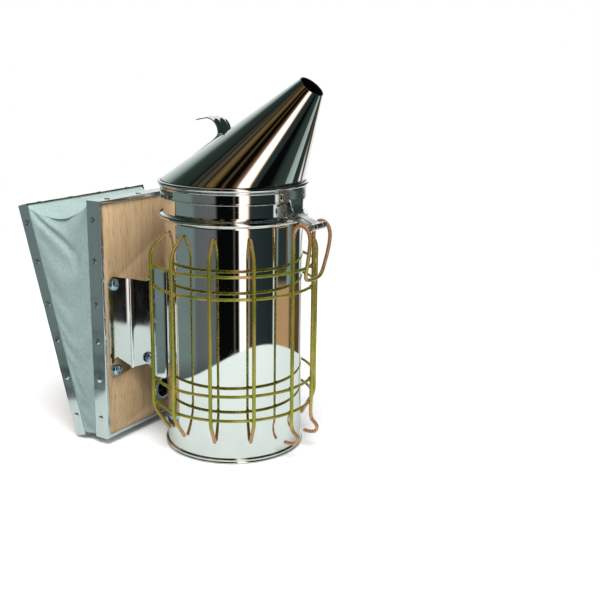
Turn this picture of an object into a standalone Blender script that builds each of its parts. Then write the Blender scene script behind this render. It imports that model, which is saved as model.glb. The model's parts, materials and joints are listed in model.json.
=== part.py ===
"""Bee smoker: stainless fire chamber with hinged spout lid, wire guard, fire grate and wooden bellows.

Frame: metres, +Z up. The origin is on the chamber's axis, on the floor it stands on.
+X points at the lid hinge and the hanging hook, -X at the bellows. The object mirrors across y = 0.
"""

import math

import bmesh
import bpy
from mathutils import Matrix, Vector

MM = 0.001
GAP = 0.3 * MM

# Fire chamber
CHAMBER_R = 50.8 * MM
CHAMBER_WALL = 0.8 * MM
CHAMBER_TOP = 190.5 * MM
BEAD_Z = 175.0 * MM
BEAD_HALF_HEIGHT = 2.0 * MM
BEAD_R = 54.7 * MM
FLOOR_THICK = 1.0 * MM
PAN_RIM_R = 52.3 * MM
PAN_RIM_HEIGHT = 3.8 * MM
ROUND_STEPS = 48
PATCH_STEPS = 6

# Air path: bellows eyelet and chamber inlet
INLET_Z = 19.5 * MM
INLET_R = 7.0 * MM
INLET_WALL = 0.8 * MM
EYELET_Z = 27.0 * MM
EYELET_R = 8.2 * MM
EYELET_FLANGE_R = 10.5 * MM

# Lid
SKIRT_R = 53.0 * MM
SKIRT_WALL = 0.8 * MM
SKIRT_BOTTOM = 188.0 * MM
ROLL_Z = 198.6 * MM
ROLL_RADIUS = 1.5 * MM
ROLL_R = 53.2 * MM
CONE_BASE_Z = 200.4 * MM
CONE_BASE_R = 52.0 * MM
CONE_WALL = 0.9 * MM
TIP_CENTRE = Vector((64.35 * MM, 0, 266.9 * MM))
TIP_R = 9.3 * MM
TIP_TILT = math.radians(40)
LEVER_HALF_WIDTH = 8.0 * MM
LEVER_THICK = 0.8 * MM
LEVER_CURL_R = 9.8 * MM

# Lid hinge
PIN_X = 70.5 * MM
PIN_Z = 172.3 * MM
PIN_RADIUS = 1.2 * MM
PIN_HALF_LENGTH = 9.0 * MM
KNUCKLE_OUTER = 2.5 * MM
KNUCKLE_BORE = 1.45 * MM
LID_KNUCKLE_HALF = 3.9 * MM
EAR_INNER_Y = 4.2 * MM
EAR_OUTER_Y = 8.0 * MM
HINGE_SHEET = 0.7 * MM

# Wire guard and hanging hook
GUARD_R = 59.7 * MM
RING_WIRE = 1.1 * MM
RING_HEIGHTS = [140.5 * MM, 124.8 * MM, 54.4 * MM, 36.3 * MM]
UPRIGHT_WIRE = 1.35 * MM
UPRIGHT_SPACING = math.radians(28.3)
RING_HALF_ARC = 4.54 * UPRIGHT_SPACING
UPRIGHT_R = GUARD_R + RING_WIRE + GAP + UPRIGHT_WIRE
WIRE_SIDES = 6

# Bellows
BOARD_FACE_X = -70.0 * MM
BOARD_THICK = 9.5 * MM
BOARD_HALF_WIDTH = 66.5 * MM
BOARD_BOTTOM = 5.2 * MM
BOARD_LENGTH = 180.1 * MM
EDGING_SHEET = 0.5 * MM
EDGING_LIP = 3.0 * MM
EDGING_DEPTH = 12.0 * MM
OUTER_EDGING_DEPTH = 10.0 * MM
BELLOWS_PIVOT = Vector((-86.5 * MM, 0, 4.0 * MM))
BELLOWS_TILT = math.radians(15.74)
OUTER_FACE_OFFSET = 14.7 * MM
OUTER_BOTTOM_OFFSET = 1.7 * MM
CLOTH_THICK = 1.2 * MM
TOP_FOLD = 9.0 * MM
BOTTOM_FOLD = 1.0 * MM
SIDE_FOLD = 4.0 * MM
TACKS_LONG_SIDE = 6
TACKS_SHORT_SIDE = 4
TACK_RADIUS = 2.2 * MM
TACK_HEIGHT = 0.8 * MM

# Bellows bracket
BRACKET_SHEET = 1.0 * MM
WEB_Y = 37.0 * MM
FLANGE_OUTER_Y = 61.0 * MM
FLANGE_BOTTOM = 51.5 * MM
FLANGE_TOP = 128.8 * MM
BOLT_Y = 55.0 * MM
BOLT_HEIGHTS = [123.0 * MM, 57.5 * MM]
BOLT_SHANK = 2.0 * MM
BOLT_HOLE = 2.3 * MM
BOLT_HEAD_R = 4.3 * MM
BOLT_HEAD_HEIGHT = 2.8 * MM
NUT_BORE = 2.7 * MM
NUT_R = 4.2 * MM
NUT_HEIGHT = 2.4 * MM

# Fire grate
GRATE_R = 48.5 * MM
GRATE_THICK = 1.0 * MM
GRATE_HOLE_R = 4.2 * MM
GRATE_INNER_RING = 18.0 * MM
GRATE_OUTER_RING = 36.0 * MM
LEG_HALF_WIDTH = 3.4 * MM
LEG_ROOT = 12.2 * MM
LEG_BEND = 40.0 * MM
LEG_LENGTH = LEG_BEND - LEG_ROOT


def clear_scene():
    for existing in list(bpy.data.objects):
        bpy.data.objects.remove(existing, do_unlink=True)


def make_material(name, colour, roughness, metallic):
    material = bpy.data.materials.new(name)
    material.use_nodes = True
    shader = material.node_tree.nodes["Principled BSDF"]
    shader.inputs["Base Color"].default_value = (*colour, 1.0)
    shader.inputs["Roughness"].default_value = roughness
    shader.inputs["Metallic"].default_value = metallic
    return material


def finish_object(name, bm, material, origin=(0, 0, 0), sharp_degrees=35):
    """Turns the bmesh into a smooth-shaded object whose origin is the given world point."""
    bmesh.ops.recalc_face_normals(bm, faces=bm.faces)
    bm.transform(Matrix.Translation(-Vector(origin)))
    mesh = bpy.data.meshes.new(name)
    bm.to_mesh(mesh)
    bm.free()
    mesh.shade_smooth()
    mesh.set_sharp_from_angle(angle=math.radians(sharp_degrees))
    made = bpy.data.objects.new(name, mesh)
    made.location = origin
    made.data.materials.append(material)
    bpy.context.scene.collection.objects.link(made)
    return made


def combine(target, tool, operation):
    """Cuts or joins the tool with an exact Boolean and hides the tool as a wire guide."""
    tool.hide_render = True
    tool.display_type = "WIRE"
    modifier = target.modifiers.new(operation.title(), "BOOLEAN")
    modifier.operation = operation
    modifier.solver = "EXACT"
    modifier.object = tool


def ring_faces(bm, first, second):
    """Bridges two vertex loops of the same length with quads."""
    count = len(first)
    for i in range(count):
        j = (i + 1) % count
        bm.faces.new((first[i], first[j], second[j], second[i]))


def lathe(profile, steps=ROUND_STEPS, start=0.0, sweep=2 * math.pi):
    """Turns a closed (radius, height) outline round Z, all the way or over part of a turn."""
    bm = bmesh.new()
    whole = abs(sweep - 2 * math.pi) < 1e-6
    stations = steps if whole else steps + 1
    rings = []
    for i in range(stations):
        angle = start + sweep * i / steps
        ring = [bm.verts.new((r * math.cos(angle), r * math.sin(angle), z)) for r, z in profile]
        rings.append(ring)
    for i in range(steps):
        ring_faces(bm, rings[i], rings[(i + 1) % stations])
    if not whole:
        bm.faces.new(rings[0])
        bm.faces.new(reversed(rings[-1]))
    return bm


def lathe_solid(profile, steps):
    """Turns an open (radius, height) outline round Z, closed on the axis at both ends."""
    bm = bmesh.new()
    loops = []
    for r, z in profile:
        angles = [2 * math.pi * i / steps for i in range(steps)]
        loops.append([bm.verts.new((r * math.cos(a), r * math.sin(a), z)) for a in angles])
    for lower, upper in zip(loops, loops[1:]):
        ring_faces(bm, lower, upper)
    bm.faces.new(loops[0])
    bm.faces.new(reversed(loops[-1]))
    return bm


def wire(points, radius, sides=WIRE_SIDES):
    """A round wire along a path, with flat ends."""
    bm = bmesh.new()
    path = [Vector(p) for p in points]
    tangents = []
    for i in range(len(path)):
        before = path[max(i - 1, 0)]
        after = path[min(i + 1, len(path) - 1)]
        tangents.append((after - before).normalized())
    side = tangents[0].orthogonal().normalized()
    rings = []
    for point, tangent in zip(path, tangents):
        side = (side - tangent * side.dot(tangent)).normalized()
        other = tangent.cross(side)
        ring = []
        for k in range(sides):
            angle = 2 * math.pi * k / sides
            ring.append(bm.verts.new(point + radius * (side * math.cos(angle) + other * math.sin(angle))))
        rings.append(ring)
    for first, second in zip(rings, rings[1:]):
        ring_faces(bm, first, second)
    bm.faces.new(rings[0])
    bm.faces.new(reversed(rings[-1]))
    return bm


def ribbon(path, half_widths, thick):
    """A bent sheet strip: path holds (x, z) of its mid line, and the strip runs across Y."""
    bm = bmesh.new()
    rings = []
    for i, (x, z) in enumerate(path):
        ahead = Vector(path[min(i + 1, len(path) - 1)])
        behind = Vector(path[max(i - 1, 0)])
        along = (ahead - behind).normalized()
        normal = Vector((-along.y, along.x)) * thick / 2
        half = half_widths[i]
        corners = [(1, -half), (1, half), (-1, half), (-1, -half)]
        ring = [bm.verts.new((x + s * normal.x, y, z + s * normal.y)) for s, y in corners]
        rings.append(ring)
    for first, second in zip(rings, rings[1:]):
        ring_faces(bm, first, second)
    bm.faces.new(rings[0])
    bm.faces.new(reversed(rings[-1]))
    return bm


def prism(outline, low, high, place):
    """Extrudes a flat outline: place(u, v, w) gives the world point, w running from low to high."""
    bm = bmesh.new()
    bottom = [bm.verts.new(place(u, v, low)) for u, v in outline]
    top = [bm.verts.new(place(u, v, high)) for u, v in outline]
    ring_faces(bm, bottom, top)
    bm.faces.new(bottom)
    bm.faces.new(reversed(top))
    return bm


def arc_points(centre, radius, first_degrees, last_degrees, count):
    points = []
    for i in range(count):
        angle = math.radians(first_degrees + (last_degrees - first_degrees) * i / (count - 1))
        points.append((centre[0] + radius * math.cos(angle), centre[1] + radius * math.sin(angle)))
    return points


def curved_patch(radius, thick, half_angle, low, high, centre_angle=0.0):
    """A plate that hugs a cylinder round Z."""
    outline = [(radius, low), (radius + thick, low), (radius + thick, high), (radius, high)]
    return lathe(outline, PATCH_STEPS, centre_angle - half_angle, 2 * half_angle)


def rotate_to_x(bm, origin):
    """Takes a shape turned round Z and lays its axis along +X at the given point."""
    bm.transform(Matrix.Translation(origin) @ Matrix.Rotation(math.pi / 2, 4, "Y"))
    return bm


def rotate_to_y(bm, origin):
    """Takes a shape turned round Z and lays its axis along +Y at the given point."""
    bm.transform(Matrix.Translation(origin) @ Matrix.Rotation(-math.pi / 2, 4, "X"))
    return bm


# ---------------------------------------------------------------- fire chamber


def chamber_barrel(steel):
    inner = CHAMBER_R - CHAMBER_WALL
    bottom = FLOOR_THICK + GAP
    bead = []
    for i in range(7):
        angle = -math.pi / 2 + math.pi * i / 6
        radius = CHAMBER_R + (BEAD_R - CHAMBER_R) * math.cos(angle)
        bead.append((radius, BEAD_Z + BEAD_HALF_HEIGHT * math.sin(angle)))
    profile = [(inner, bottom), (CHAMBER_R, bottom), *bead, (CHAMBER_R, CHAMBER_TOP), (inner, CHAMBER_TOP)]
    barrel = finish_object("chamber_barrel", lathe(profile), steel)
    hole = lathe_solid([(INLET_R + GAP, -8 * MM), (INLET_R + GAP, 8 * MM)], 20)
    cutter = finish_object("inlet_cutter", rotate_to_x(hole, (-CHAMBER_R, 0, INLET_Z)), steel)
    combine(barrel, cutter, "DIFFERENCE")


def chamber_base(steel):
    wall = CHAMBER_R + GAP
    profile = [
        (5 * MM, 0),
        (PAN_RIM_R - 0.7 * MM, 0),
        (PAN_RIM_R, 0.7 * MM),
        (PAN_RIM_R, PAN_RIM_HEIGHT - 0.6 * MM),
        (PAN_RIM_R - 0.6 * MM, PAN_RIM_HEIGHT),
        (wall, PAN_RIM_HEIGHT - 0.6 * MM),
        (wall, FLOOR_THICK),
        (5 * MM, FLOOR_THICK),
    ]
    finish_object("chamber_base", lathe_solid(profile, ROUND_STEPS), steel)


def air_inlet_tube(steel):
    bore = INLET_R - INLET_WALL
    flare = INLET_R + 1.2 * MM
    profile = [(bore, -6 * MM), (flare, -6 * MM), (flare, -5.2 * MM), (INLET_R, -4.4 * MM)]
    profile += [(INLET_R, 3 * MM), (bore, 3 * MM)]
    tube = rotate_to_x(lathe(profile, 20), (-CHAMBER_R, 0, INLET_Z))
    finish_object("air_inlet_tube", tube, steel)


def fire_grate(steel):
    """Perforated disc on three legs, which are tongues punched from the disc and bent down."""
    top = FLOOR_THICK + GAP + LEG_LENGTH + GRATE_THICK
    low = top - GRATE_THICK
    disc = finish_object("fire_grate", lathe_solid([(GRATE_R, low), (GRATE_R, top)], 40), steel)
    holes = [(0.0, 0.0)]
    for turn in range(3):
        inner_angle = math.radians(90 + 120 * turn)
        holes.append((GRATE_INNER_RING * math.cos(inner_angle), GRATE_INNER_RING * math.sin(inner_angle)))
        for offset in (60, 90, 120):
            angle = math.radians(offset + 120 * turn)
            holes.append((GRATE_OUTER_RING * math.cos(angle), GRATE_OUTER_RING * math.sin(angle)))
    for number, (x, y) in enumerate(holes):
        punch = lathe_solid([(GRATE_HOLE_R, low - MM), (GRATE_HOLE_R, top + MM)], 10)
        punch.transform(Matrix.Translation((x, y, 0)))
        combine(disc, finish_object(f"grate_punch_{number}", punch, steel), "DIFFERENCE")
    slot = LEG_HALF_WIDTH + 0.2 * MM
    for turn in range(3):
        spin = Matrix.Rotation(math.radians(30 + 120 * turn), 4, "Z")
        outline = [(LEG_ROOT, -slot), (LEG_BEND, -slot), (LEG_BEND, slot), (LEG_ROOT, slot)]
        window = prism(outline, low - MM, top + MM, lambda u, v, w: (u, v, w))
        window.transform(spin)
        combine(disc, finish_object(f"grate_window_{turn}", window, steel), "DIFFERENCE")
        foot = FLOOR_THICK + GAP
        leg_x = LEG_BEND + 0.8 * MM
        path = [(leg_x, top - 0.4 * MM), (leg_x, foot)]
        leg = ribbon(path, [LEG_HALF_WIDTH] * 2, GRATE_THICK)
        leg.transform(spin)
        combine(disc, finish_object(f"grate_leg_{turn}", leg, steel), "UNION")


# ---------------------------------------------------------------- wire guard and hook


def guard_rings(zinc):
    for number, height in enumerate(RING_HEIGHTS, 1):
        steps = 28
        points = []
        for i in range(steps + 1):
            angle = -RING_HALF_ARC + 2 * RING_HALF_ARC * i / steps
            points.append((GUARD_R * math.cos(angle), GUARD_R * math.sin(angle), height))
        finish_object(f"guard_ring_{number}", wire(points, RING_WIRE), zinc)


def guard_uprights(zinc):
    """Eight uprights outside the rings, bent in at both ends until the tips rest on the chamber."""
    tip = CHAMBER_R + UPRIGHT_WIRE + 0.45 * MM
    side_view = [
        (tip, 17.0 * MM),
        (tip + 4.0 * MM, 23.5 * MM),
        (UPRIGHT_R - 1.4 * MM, 31.0 * MM),
        (UPRIGHT_R, 36.0 * MM),
        (UPRIGHT_R, 152.0 * MM),
        (UPRIGHT_R - 1.2 * MM, 157.0 * MM),
        (UPRIGHT_R - 4.5 * MM, 161.4 * MM),
        (tip, 164.5 * MM),
    ]
    number = 0
    for half_step in (1.5, 2.5, 3.5, 4.5):
        for side in (-1, 1):
            number += 1
            angle = side * half_step * UPRIGHT_SPACING
            lean = -side * math.radians(6) if half_step == 4.5 else 0.0
            points = []
            for radius, height in side_view:
                turn = angle + lean * (UPRIGHT_R - radius) / (UPRIGHT_R - tip)
                points.append((radius * math.cos(turn), radius * math.sin(turn), height))
            finish_object(f"guard_upright_{number}", wire(points, UPRIGHT_WIRE), zinc)


def hanging_hook(zinc):
    """One bent wire: S-shaped foot, upright, arch, hook bend at the front, and the same back up."""
    y = 15.2
    near_half = [
        (55.0, -y, 12.9), (61.0, -y, 13.0), (64.6, -y, 14.3), (66.2, -y, 17.2), (64.9, -y, 20.2),
        (61.8, -y, 23.0), (60.7, -y, 27.0), (60.7, -y, 165.0), (61.6, -y, 169.8), (63.8, -y, 172.9),
        (67.0, -y, 174.2), (70.4, -y, 173.4), (73.2, -y, 170.6), (74.4, -y, 166.0), (74.2, -15.0, 161.0),
        (72.6, -14.2, 152.0), (70.6, -13.2, 144.0), (69.3, -12.2, 138.6), (68.9, -10.2, 136.0),
        (68.7, -6.5, 134.8), (68.7, 0.0, 134.5),
    ]
    far_half = [(x, -across, z) for x, across, z in reversed(near_half[:-1])]
    points = [Vector(p) * MM for p in near_half + far_half]
    finish_object("hanging_hook", wire(points, UPRIGHT_WIRE), zinc)


# ---------------------------------------------------------------- lid and its hinge


def spout_cone(steel):
    """Oblique cone sheet from the lid's round base to the small tilted mouth."""
    across = Vector((math.cos(TIP_TILT), 0, -math.sin(TIP_TILT)))
    bm = bmesh.new()
    loops = []
    for inset in (0.0, CONE_WALL):
        base_loop = []
        tip_loop = []
        for i in range(ROUND_STEPS):
            angle = 2 * math.pi * i / ROUND_STEPS
            base_r = CONE_BASE_R - inset
            base_loop.append(bm.verts.new((base_r * math.cos(angle), base_r * math.sin(angle), CONE_BASE_Z)))
            rim = across * math.cos(angle) + Vector((0, math.sin(angle), 0))
            tip_loop.append(bm.verts.new(TIP_CENTRE + rim * (TIP_R - inset)))
        loops.append((base_loop, tip_loop))
    (outer_base, outer_tip), (inner_base, inner_tip) = loops
    ring_faces(bm, outer_base, outer_tip)
    ring_faces(bm, outer_tip, inner_tip)
    ring_faces(bm, inner_tip, inner_base)
    ring_faces(bm, inner_base, outer_base)
    finish_object("spout_cone", bm, steel, (PIN_X, 0, PIN_Z))


def lid_skirt(steel):
    """Short band that slips over the chamber, with its top edge rolled outward."""
    inner = SKIRT_R - SKIRT_WALL
    roll = arc_points((ROLL_R, ROLL_Z), ROLL_RADIUS, -100, 120, 9)
    profile = [(inner, SKIRT_BOTTOM), (SKIRT_R, SKIRT_BOTTOM), (SKIRT_R, 196.4 * MM), *roll]
    profile.append((inner, ROLL_Z))
    finish_object("lid_skirt", lathe(profile), steel, (PIN_X, 0, PIN_Z))


def cone_back_height(x):
    """Height of the cone's -X generator, on its outer face, above a given x."""
    mouth_x = TIP_CENTRE.x - TIP_R * math.cos(TIP_TILT)
    mouth_z = TIP_CENTRE.z + TIP_R * math.sin(TIP_TILT)
    share = (x + CONE_BASE_R) / (mouth_x + CONE_BASE_R)
    return CONE_BASE_Z + share * (mouth_z - CONE_BASE_Z)


def thumb_lever(steel):
    """Strip that lies on the cone's back, rises and curls back to a pointed tip."""
    lift = LEVER_THICK / 2 + 0.5 * MM
    path = []
    for x in (-41.0 * MM, -38.5 * MM, -25.0 * MM, -12.5 * MM):
        path.append((x, cone_back_height(x) + lift))
    path[0] = (path[0][0], path[0][1] + 1.0 * MM)
    path += arc_points((-17.6 * MM, 233.2 * MM), LEVER_CURL_R, -8, 92, 9)
    path += [(-25.0 * MM, 242.0 * MM), (-32.5 * MM, 240.7 * MM)]
    half_widths = [LEVER_HALF_WIDTH * 0.7] + [LEVER_HALF_WIDTH] * 11
    half_widths += [LEVER_HALF_WIDTH * 0.8, LEVER_HALF_WIDTH * 0.45, 1.0 * MM]
    finish_object("thumb_lever", ribbon(path, half_widths, LEVER_THICK), steel, (PIN_X, 0, PIN_Z))


def hinge_knuckle(half_low, half_high):
    """Rolled sheet loop round the hinge pin, between two y positions."""
    profile = [(KNUCKLE_BORE, half_low), (KNUCKLE_OUTER, half_low)]
    profile += [(KNUCKLE_OUTER, half_high), (KNUCKLE_BORE, half_high)]
    return rotate_to_y(lathe(profile, 16), (PIN_X, 0, PIN_Z))


def lid_hinge_strap(steel):
    radius = SKIRT_R + GAP
    patch = curved_patch(radius, HINGE_SHEET, math.radians(17), 188.6 * MM, 196.0 * MM)
    strap = finish_object("lid_hinge_strap", patch, steel, (PIN_X, 0, PIN_Z))
    mid = radius + HINGE_SHEET / 2
    path = [(mid, 192.0 * MM), (mid + 0.3 * MM, 188.4 * MM), (56.5 * MM, 185.4 * MM)]
    path += [(62.5 * MM, 179.8 * MM), (66.6 * MM, 176.0 * MM), (68.9 * MM, 173.9 * MM)]
    widths = [9.0 * MM, 9.0 * MM, 8.0 * MM, 5.0 * MM, LID_KNUCKLE_HALF, LID_KNUCKLE_HALF]
    tongue = finish_object("strap_tongue", ribbon(path, widths, HINGE_SHEET), steel)
    knuckle = finish_object("strap_knuckle", hinge_knuckle(-LID_KNUCKLE_HALF, LID_KNUCKLE_HALF), steel)
    combine(strap, tongue, "UNION")
    combine(strap, knuckle, "UNION")


def hinge_bracket(steel):
    """Plate welded below the lid, folded out over the bead to two ears that hold the pin."""
    radius = CHAMBER_R + GAP
    patch = curved_patch(radius, HINGE_SHEET, math.radians(20), 177.7 * MM, 187.5 * MM)
    bracket = finish_object("hinge_bracket", patch, steel)
    start = radius + HINGE_SHEET / 2
    path = [(start, 182.0 * MM), (start + 0.2 * MM, 178.6 * MM), (53.4 * MM, 177.6 * MM)]
    path += [(66.9 * MM, 173.8 * MM)]
    fold = ribbon(path, [13.0 * MM, 13.0 * MM, 12.5 * MM, EAR_OUTER_Y], HINGE_SHEET)
    combine(bracket, finish_object("bracket_fold", fold, steel), "UNION")
    middle = (EAR_INNER_Y + EAR_OUTER_Y) / 2
    half = (EAR_OUTER_Y - EAR_INNER_Y) / 2
    for side in (-1, 1):
        finger_path = [(66.0 * MM, 174.05 * MM), (68.8 * MM, 173.2 * MM)]
        finger = ribbon(finger_path, [half, half], HINGE_SHEET)
        finger.transform(Matrix.Translation((0, side * middle, 0)))
        combine(bracket, finish_object(f"bracket_finger_{side + 1}", finger, steel), "UNION")
        ends = sorted((side * EAR_INNER_Y, side * EAR_OUTER_Y))
        ear = finish_object(f"bracket_ear_{side + 1}", hinge_knuckle(*ends), steel)
        combine(bracket, ear, "UNION")


def hinge_pin(steel):
    end = PIN_HALF_LENGTH
    head = 2.1 * MM
    profile = [(head, -end - 0.9 * MM), (head, -end), (PIN_RADIUS, -end), (PIN_RADIUS, end)]
    profile += [(head, end), (head, end + 0.9 * MM)]
    pin = rotate_to_y(lathe_solid(profile, 16), (PIN_X, 0, PIN_Z))
    finish_object("hinge_pin", pin, steel)


# ---------------------------------------------------------------- bellows


def outer_frame():
    """Placement of the outer board: local x is distance behind the pivot, local z runs up the board."""
    return Matrix.Translation(BELLOWS_PIVOT) @ Matrix.Rotation(-BELLOWS_TILT, 4, "Y")


def board(name, low, high, wood, placement):
    """A plywood rectangle between two corners."""
    outline = [(low[1], low[2]), (high[1], low[2]), (high[1], high[2]), (low[1], high[2])]
    bm = prism(outline, low[0], high[0], lambda u, v, w: (w, u, v))
    bm.transform(placement)
    return finish_object(name, bm, wood, placement.translation)


def edging(name, face_x, inward, depth, bottom, tin, placement):
    """Folded tin frame: a lip over the board's face and a band round its edge, with tack heads."""
    top = bottom + BOARD_LENGTH
    sheet = EDGING_SHEET
    lip = face_x - inward * (GAP + sheet)
    section = [
        (0.0, lip),
        (0.0, lip + inward * depth),
        (sheet, lip + inward * depth),
        (sheet, lip + inward * sheet),
        (EDGING_LIP, lip + inward * sheet),
        (EDGING_LIP, lip),
    ]
    bm = bmesh.new()
    rings = []
    for side_y, side_z in ((-1, 0), (1, 0), (1, 1), (-1, 1)):
        ring = []
        for inset, x in section:
            y = side_y * (BOARD_HALF_WIDTH - inset)
            z = top - inset if side_z else bottom + inset
            ring.append(bm.verts.new((x, y, z)))
        rings.append(ring)
    for i in range(4):
        ring_faces(bm, rings[i], rings[(i + 1) % 4])
    bm.transform(placement)
    frame = finish_object(name, bm, tin, placement.translation)

    spots = []
    for i in range(TACKS_LONG_SIDE):
        z = bottom + BOARD_LENGTH * (i + 0.5) / TACKS_LONG_SIDE
        spots += [((-1, 0), -BOARD_HALF_WIDTH, z), ((1, 0), BOARD_HALF_WIDTH, z)]
    for i in range(TACKS_SHORT_SIDE):
        y = BOARD_HALF_WIDTH * (2 * (i + 0.5) / TACKS_SHORT_SIDE - 1)
        spots += [((0, -1), y, bottom), ((0, 1), y, top)]
    tacks = bmesh.new()
    middle = lip + inward * depth * 0.55
    head_section = [(TACK_RADIUS, -0.2 * MM), (TACK_RADIUS, 0.3 * MM), (0.5 * TACK_RADIUS, TACK_HEIGHT)]
    for (out_y, out_z), y, z in spots:
        out = Vector((0, out_y, out_z))
        around = Vector((1, 0, 0))
        other = out.cross(around)
        rings = []
        for radius, height in head_section:
            ring = []
            for k in range(6):
                angle = 2 * math.pi * k / 6
                offset = radius * (around * math.cos(angle) + other * math.sin(angle))
                ring.append(tacks.verts.new(Vector((middle, y, z)) + offset + out * height))
            rings.append(ring)
        ring_faces(tacks, rings[0], rings[1])
        ring_faces(tacks, rings[1], rings[2])
        tacks.faces.new(rings[0])
        tacks.faces.new(reversed(rings[2]))
    tacks.transform(placement)
    combine(frame, finish_object(f"{name}_tacks", tacks, tin), "UNION")


def inner_bellows_board(wood, tin):
    inset = EDGING_SHEET + GAP
    half = BOARD_HALF_WIDTH - inset
    low = (BOARD_FACE_X - BOARD_THICK, -half, BOARD_BOTTOM + inset)
    high = (BOARD_FACE_X, half, BOARD_BOTTOM + BOARD_LENGTH - inset)
    inner_board = board("inner_board", low, high, wood, Matrix.Identity(4))
    spots = [(0.0, EYELET_Z, EYELET_R + GAP, 20)]
    for height in BOLT_HEIGHTS:
        spots += [(-BOLT_Y, height, BOLT_HOLE, 12), (BOLT_Y, height, BOLT_HOLE, 12)]
    for number, (y, z, radius, steps) in enumerate(spots):
        drill = lathe_solid([(radius, -2 * BOARD_THICK), (radius, 2 * BOARD_THICK)], steps)
        cutter = finish_object(f"board_drill_{number}", rotate_to_x(drill, (BOARD_FACE_X, y, z)), wood)
        combine(inner_board, cutter, "DIFFERENCE")
    edging("inner_edging", BOARD_FACE_X, -1, EDGING_DEPTH, BOARD_BOTTOM, tin, Matrix.Identity(4))


def air_eyelet(tin):
    bore = EYELET_R - 0.6 * MM
    back = -(BOARD_THICK - 0.5 * MM)
    front = GAP + 0.9 * MM
    profile = [(bore, back), (EYELET_R, back), (EYELET_R, GAP), (EYELET_FLANGE_R, GAP)]
    profile += [(EYELET_FLANGE_R - 0.6 * MM, front), (bore, front)]
    finish_object("air_eyelet", rotate_to_x(lathe(profile, 20), (BOARD_FACE_X, 0, EYELET_Z)), tin)


def outer_bellows_board(wood, tin):
    inset = EDGING_SHEET + GAP
    half = BOARD_HALF_WIDTH - inset
    face = -OUTER_FACE_OFFSET
    bottom = OUTER_BOTTOM_OFFSET
    low = (face, -half, bottom + inset)
    high = (face + OUTER_EDGING_DEPTH - 2.5 * MM, half, bottom + BOARD_LENGTH - inset)
    board("outer_board", low, high, wood, outer_frame())
    edging("outer_edging", face, 1, OUTER_EDGING_DEPTH, bottom, tin, outer_frame())


def bellows_skirt(cloth):
    """Sleeve of coated cloth between the two boards, open at both, folding in half way."""
    half = BOARD_HALF_WIDTH - 1.0 * MM
    inner_x = BOARD_FACE_X + GAP + EDGING_SHEET - EDGING_DEPTH - 0.4 * MM
    inner_low = BOARD_BOTTOM + 1.0 * MM
    inner_high = BOARD_BOTTOM + BOARD_LENGTH - 1.0 * MM
    frame = outer_frame()
    edge_x = -OUTER_FACE_OFFSET - GAP - EDGING_SHEET + OUTER_EDGING_DEPTH + 0.4 * MM
    outer_low = frame @ Vector((edge_x, 0, OUTER_BOTTOM_OFFSET + 1.0 * MM))
    outer_high = frame @ Vector((edge_x, 0, OUTER_BOTTOM_OFFSET + BOARD_LENGTH - 1.0 * MM))
    low_a = Vector((inner_x, 0, inner_low))
    high_a = Vector((inner_x, 0, inner_high))
    middle_low = (low_a + outer_low) / 2 + Vector((0, 0, BOTTOM_FOLD))
    middle_high = (high_a + outer_high) / 2 - Vector((0, 0, TOP_FOLD))
    stations = [
        (low_a, high_a, half),
        (middle_low, middle_high, half - SIDE_FOLD),
        (outer_low, outer_high, half),
    ]
    bm = bmesh.new()
    shells = []
    for inset in (0.0, CLOTH_THICK):
        loops = []
        for low, high, width in stations:
            y = width - inset
            up = (high - low).normalized() * inset
            corners = [low + up, low + up, high - up, high - up]
            signs = (-1, 1, 1, -1)
            loops.append([bm.verts.new((c.x, s * y, c.z)) for c, s in zip(corners, signs)])
        shells.append(loops)
    outside, inside = shells
    for shell in shells:
        ring_faces(bm, shell[0], shell[1])
        ring_faces(bm, shell[1], shell[2])
    ring_faces(bm, outside[0], inside[0])
    ring_faces(bm, outside[2], inside[2])
    finish_object("bellows_skirt", bm, cloth)


def bellows_spring(spring_steel):
    """V-shaped leaf spring that pushes the boards apart."""
    inner_x = BOARD_FACE_X - BOARD_THICK - 1.0 * MM
    frame = outer_frame()
    leaf_x = -OUTER_FACE_OFFSET + OUTER_EDGING_DEPTH - 2.5 * MM + 1.0 * MM
    outer_tip = frame @ Vector((leaf_x, 0, 150 * MM))
    outer_root = frame @ Vector((leaf_x + 1.5 * MM, 0, 48 * MM))
    bend = (-92.0 * MM, 30.0 * MM)
    path = [(inner_x, 150 * MM), (inner_x - 2.0 * MM, 48 * MM), (bend[0] + 3.2 * MM, bend[1])]
    path += [(bend[0] - 1.4 * MM, bend[1] - 3.4 * MM), (bend[0] - 5.0 * MM, bend[1] + 1.0 * MM)]
    path += [(outer_root.x, outer_root.z), (outer_tip.x, outer_tip.z)]
    finish_object("bellows_spring", ribbon(path, [9 * MM] * len(path), 0.9 * MM), spring_steel)


# ---------------------------------------------------------------- bracket between chamber and bellows


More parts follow.
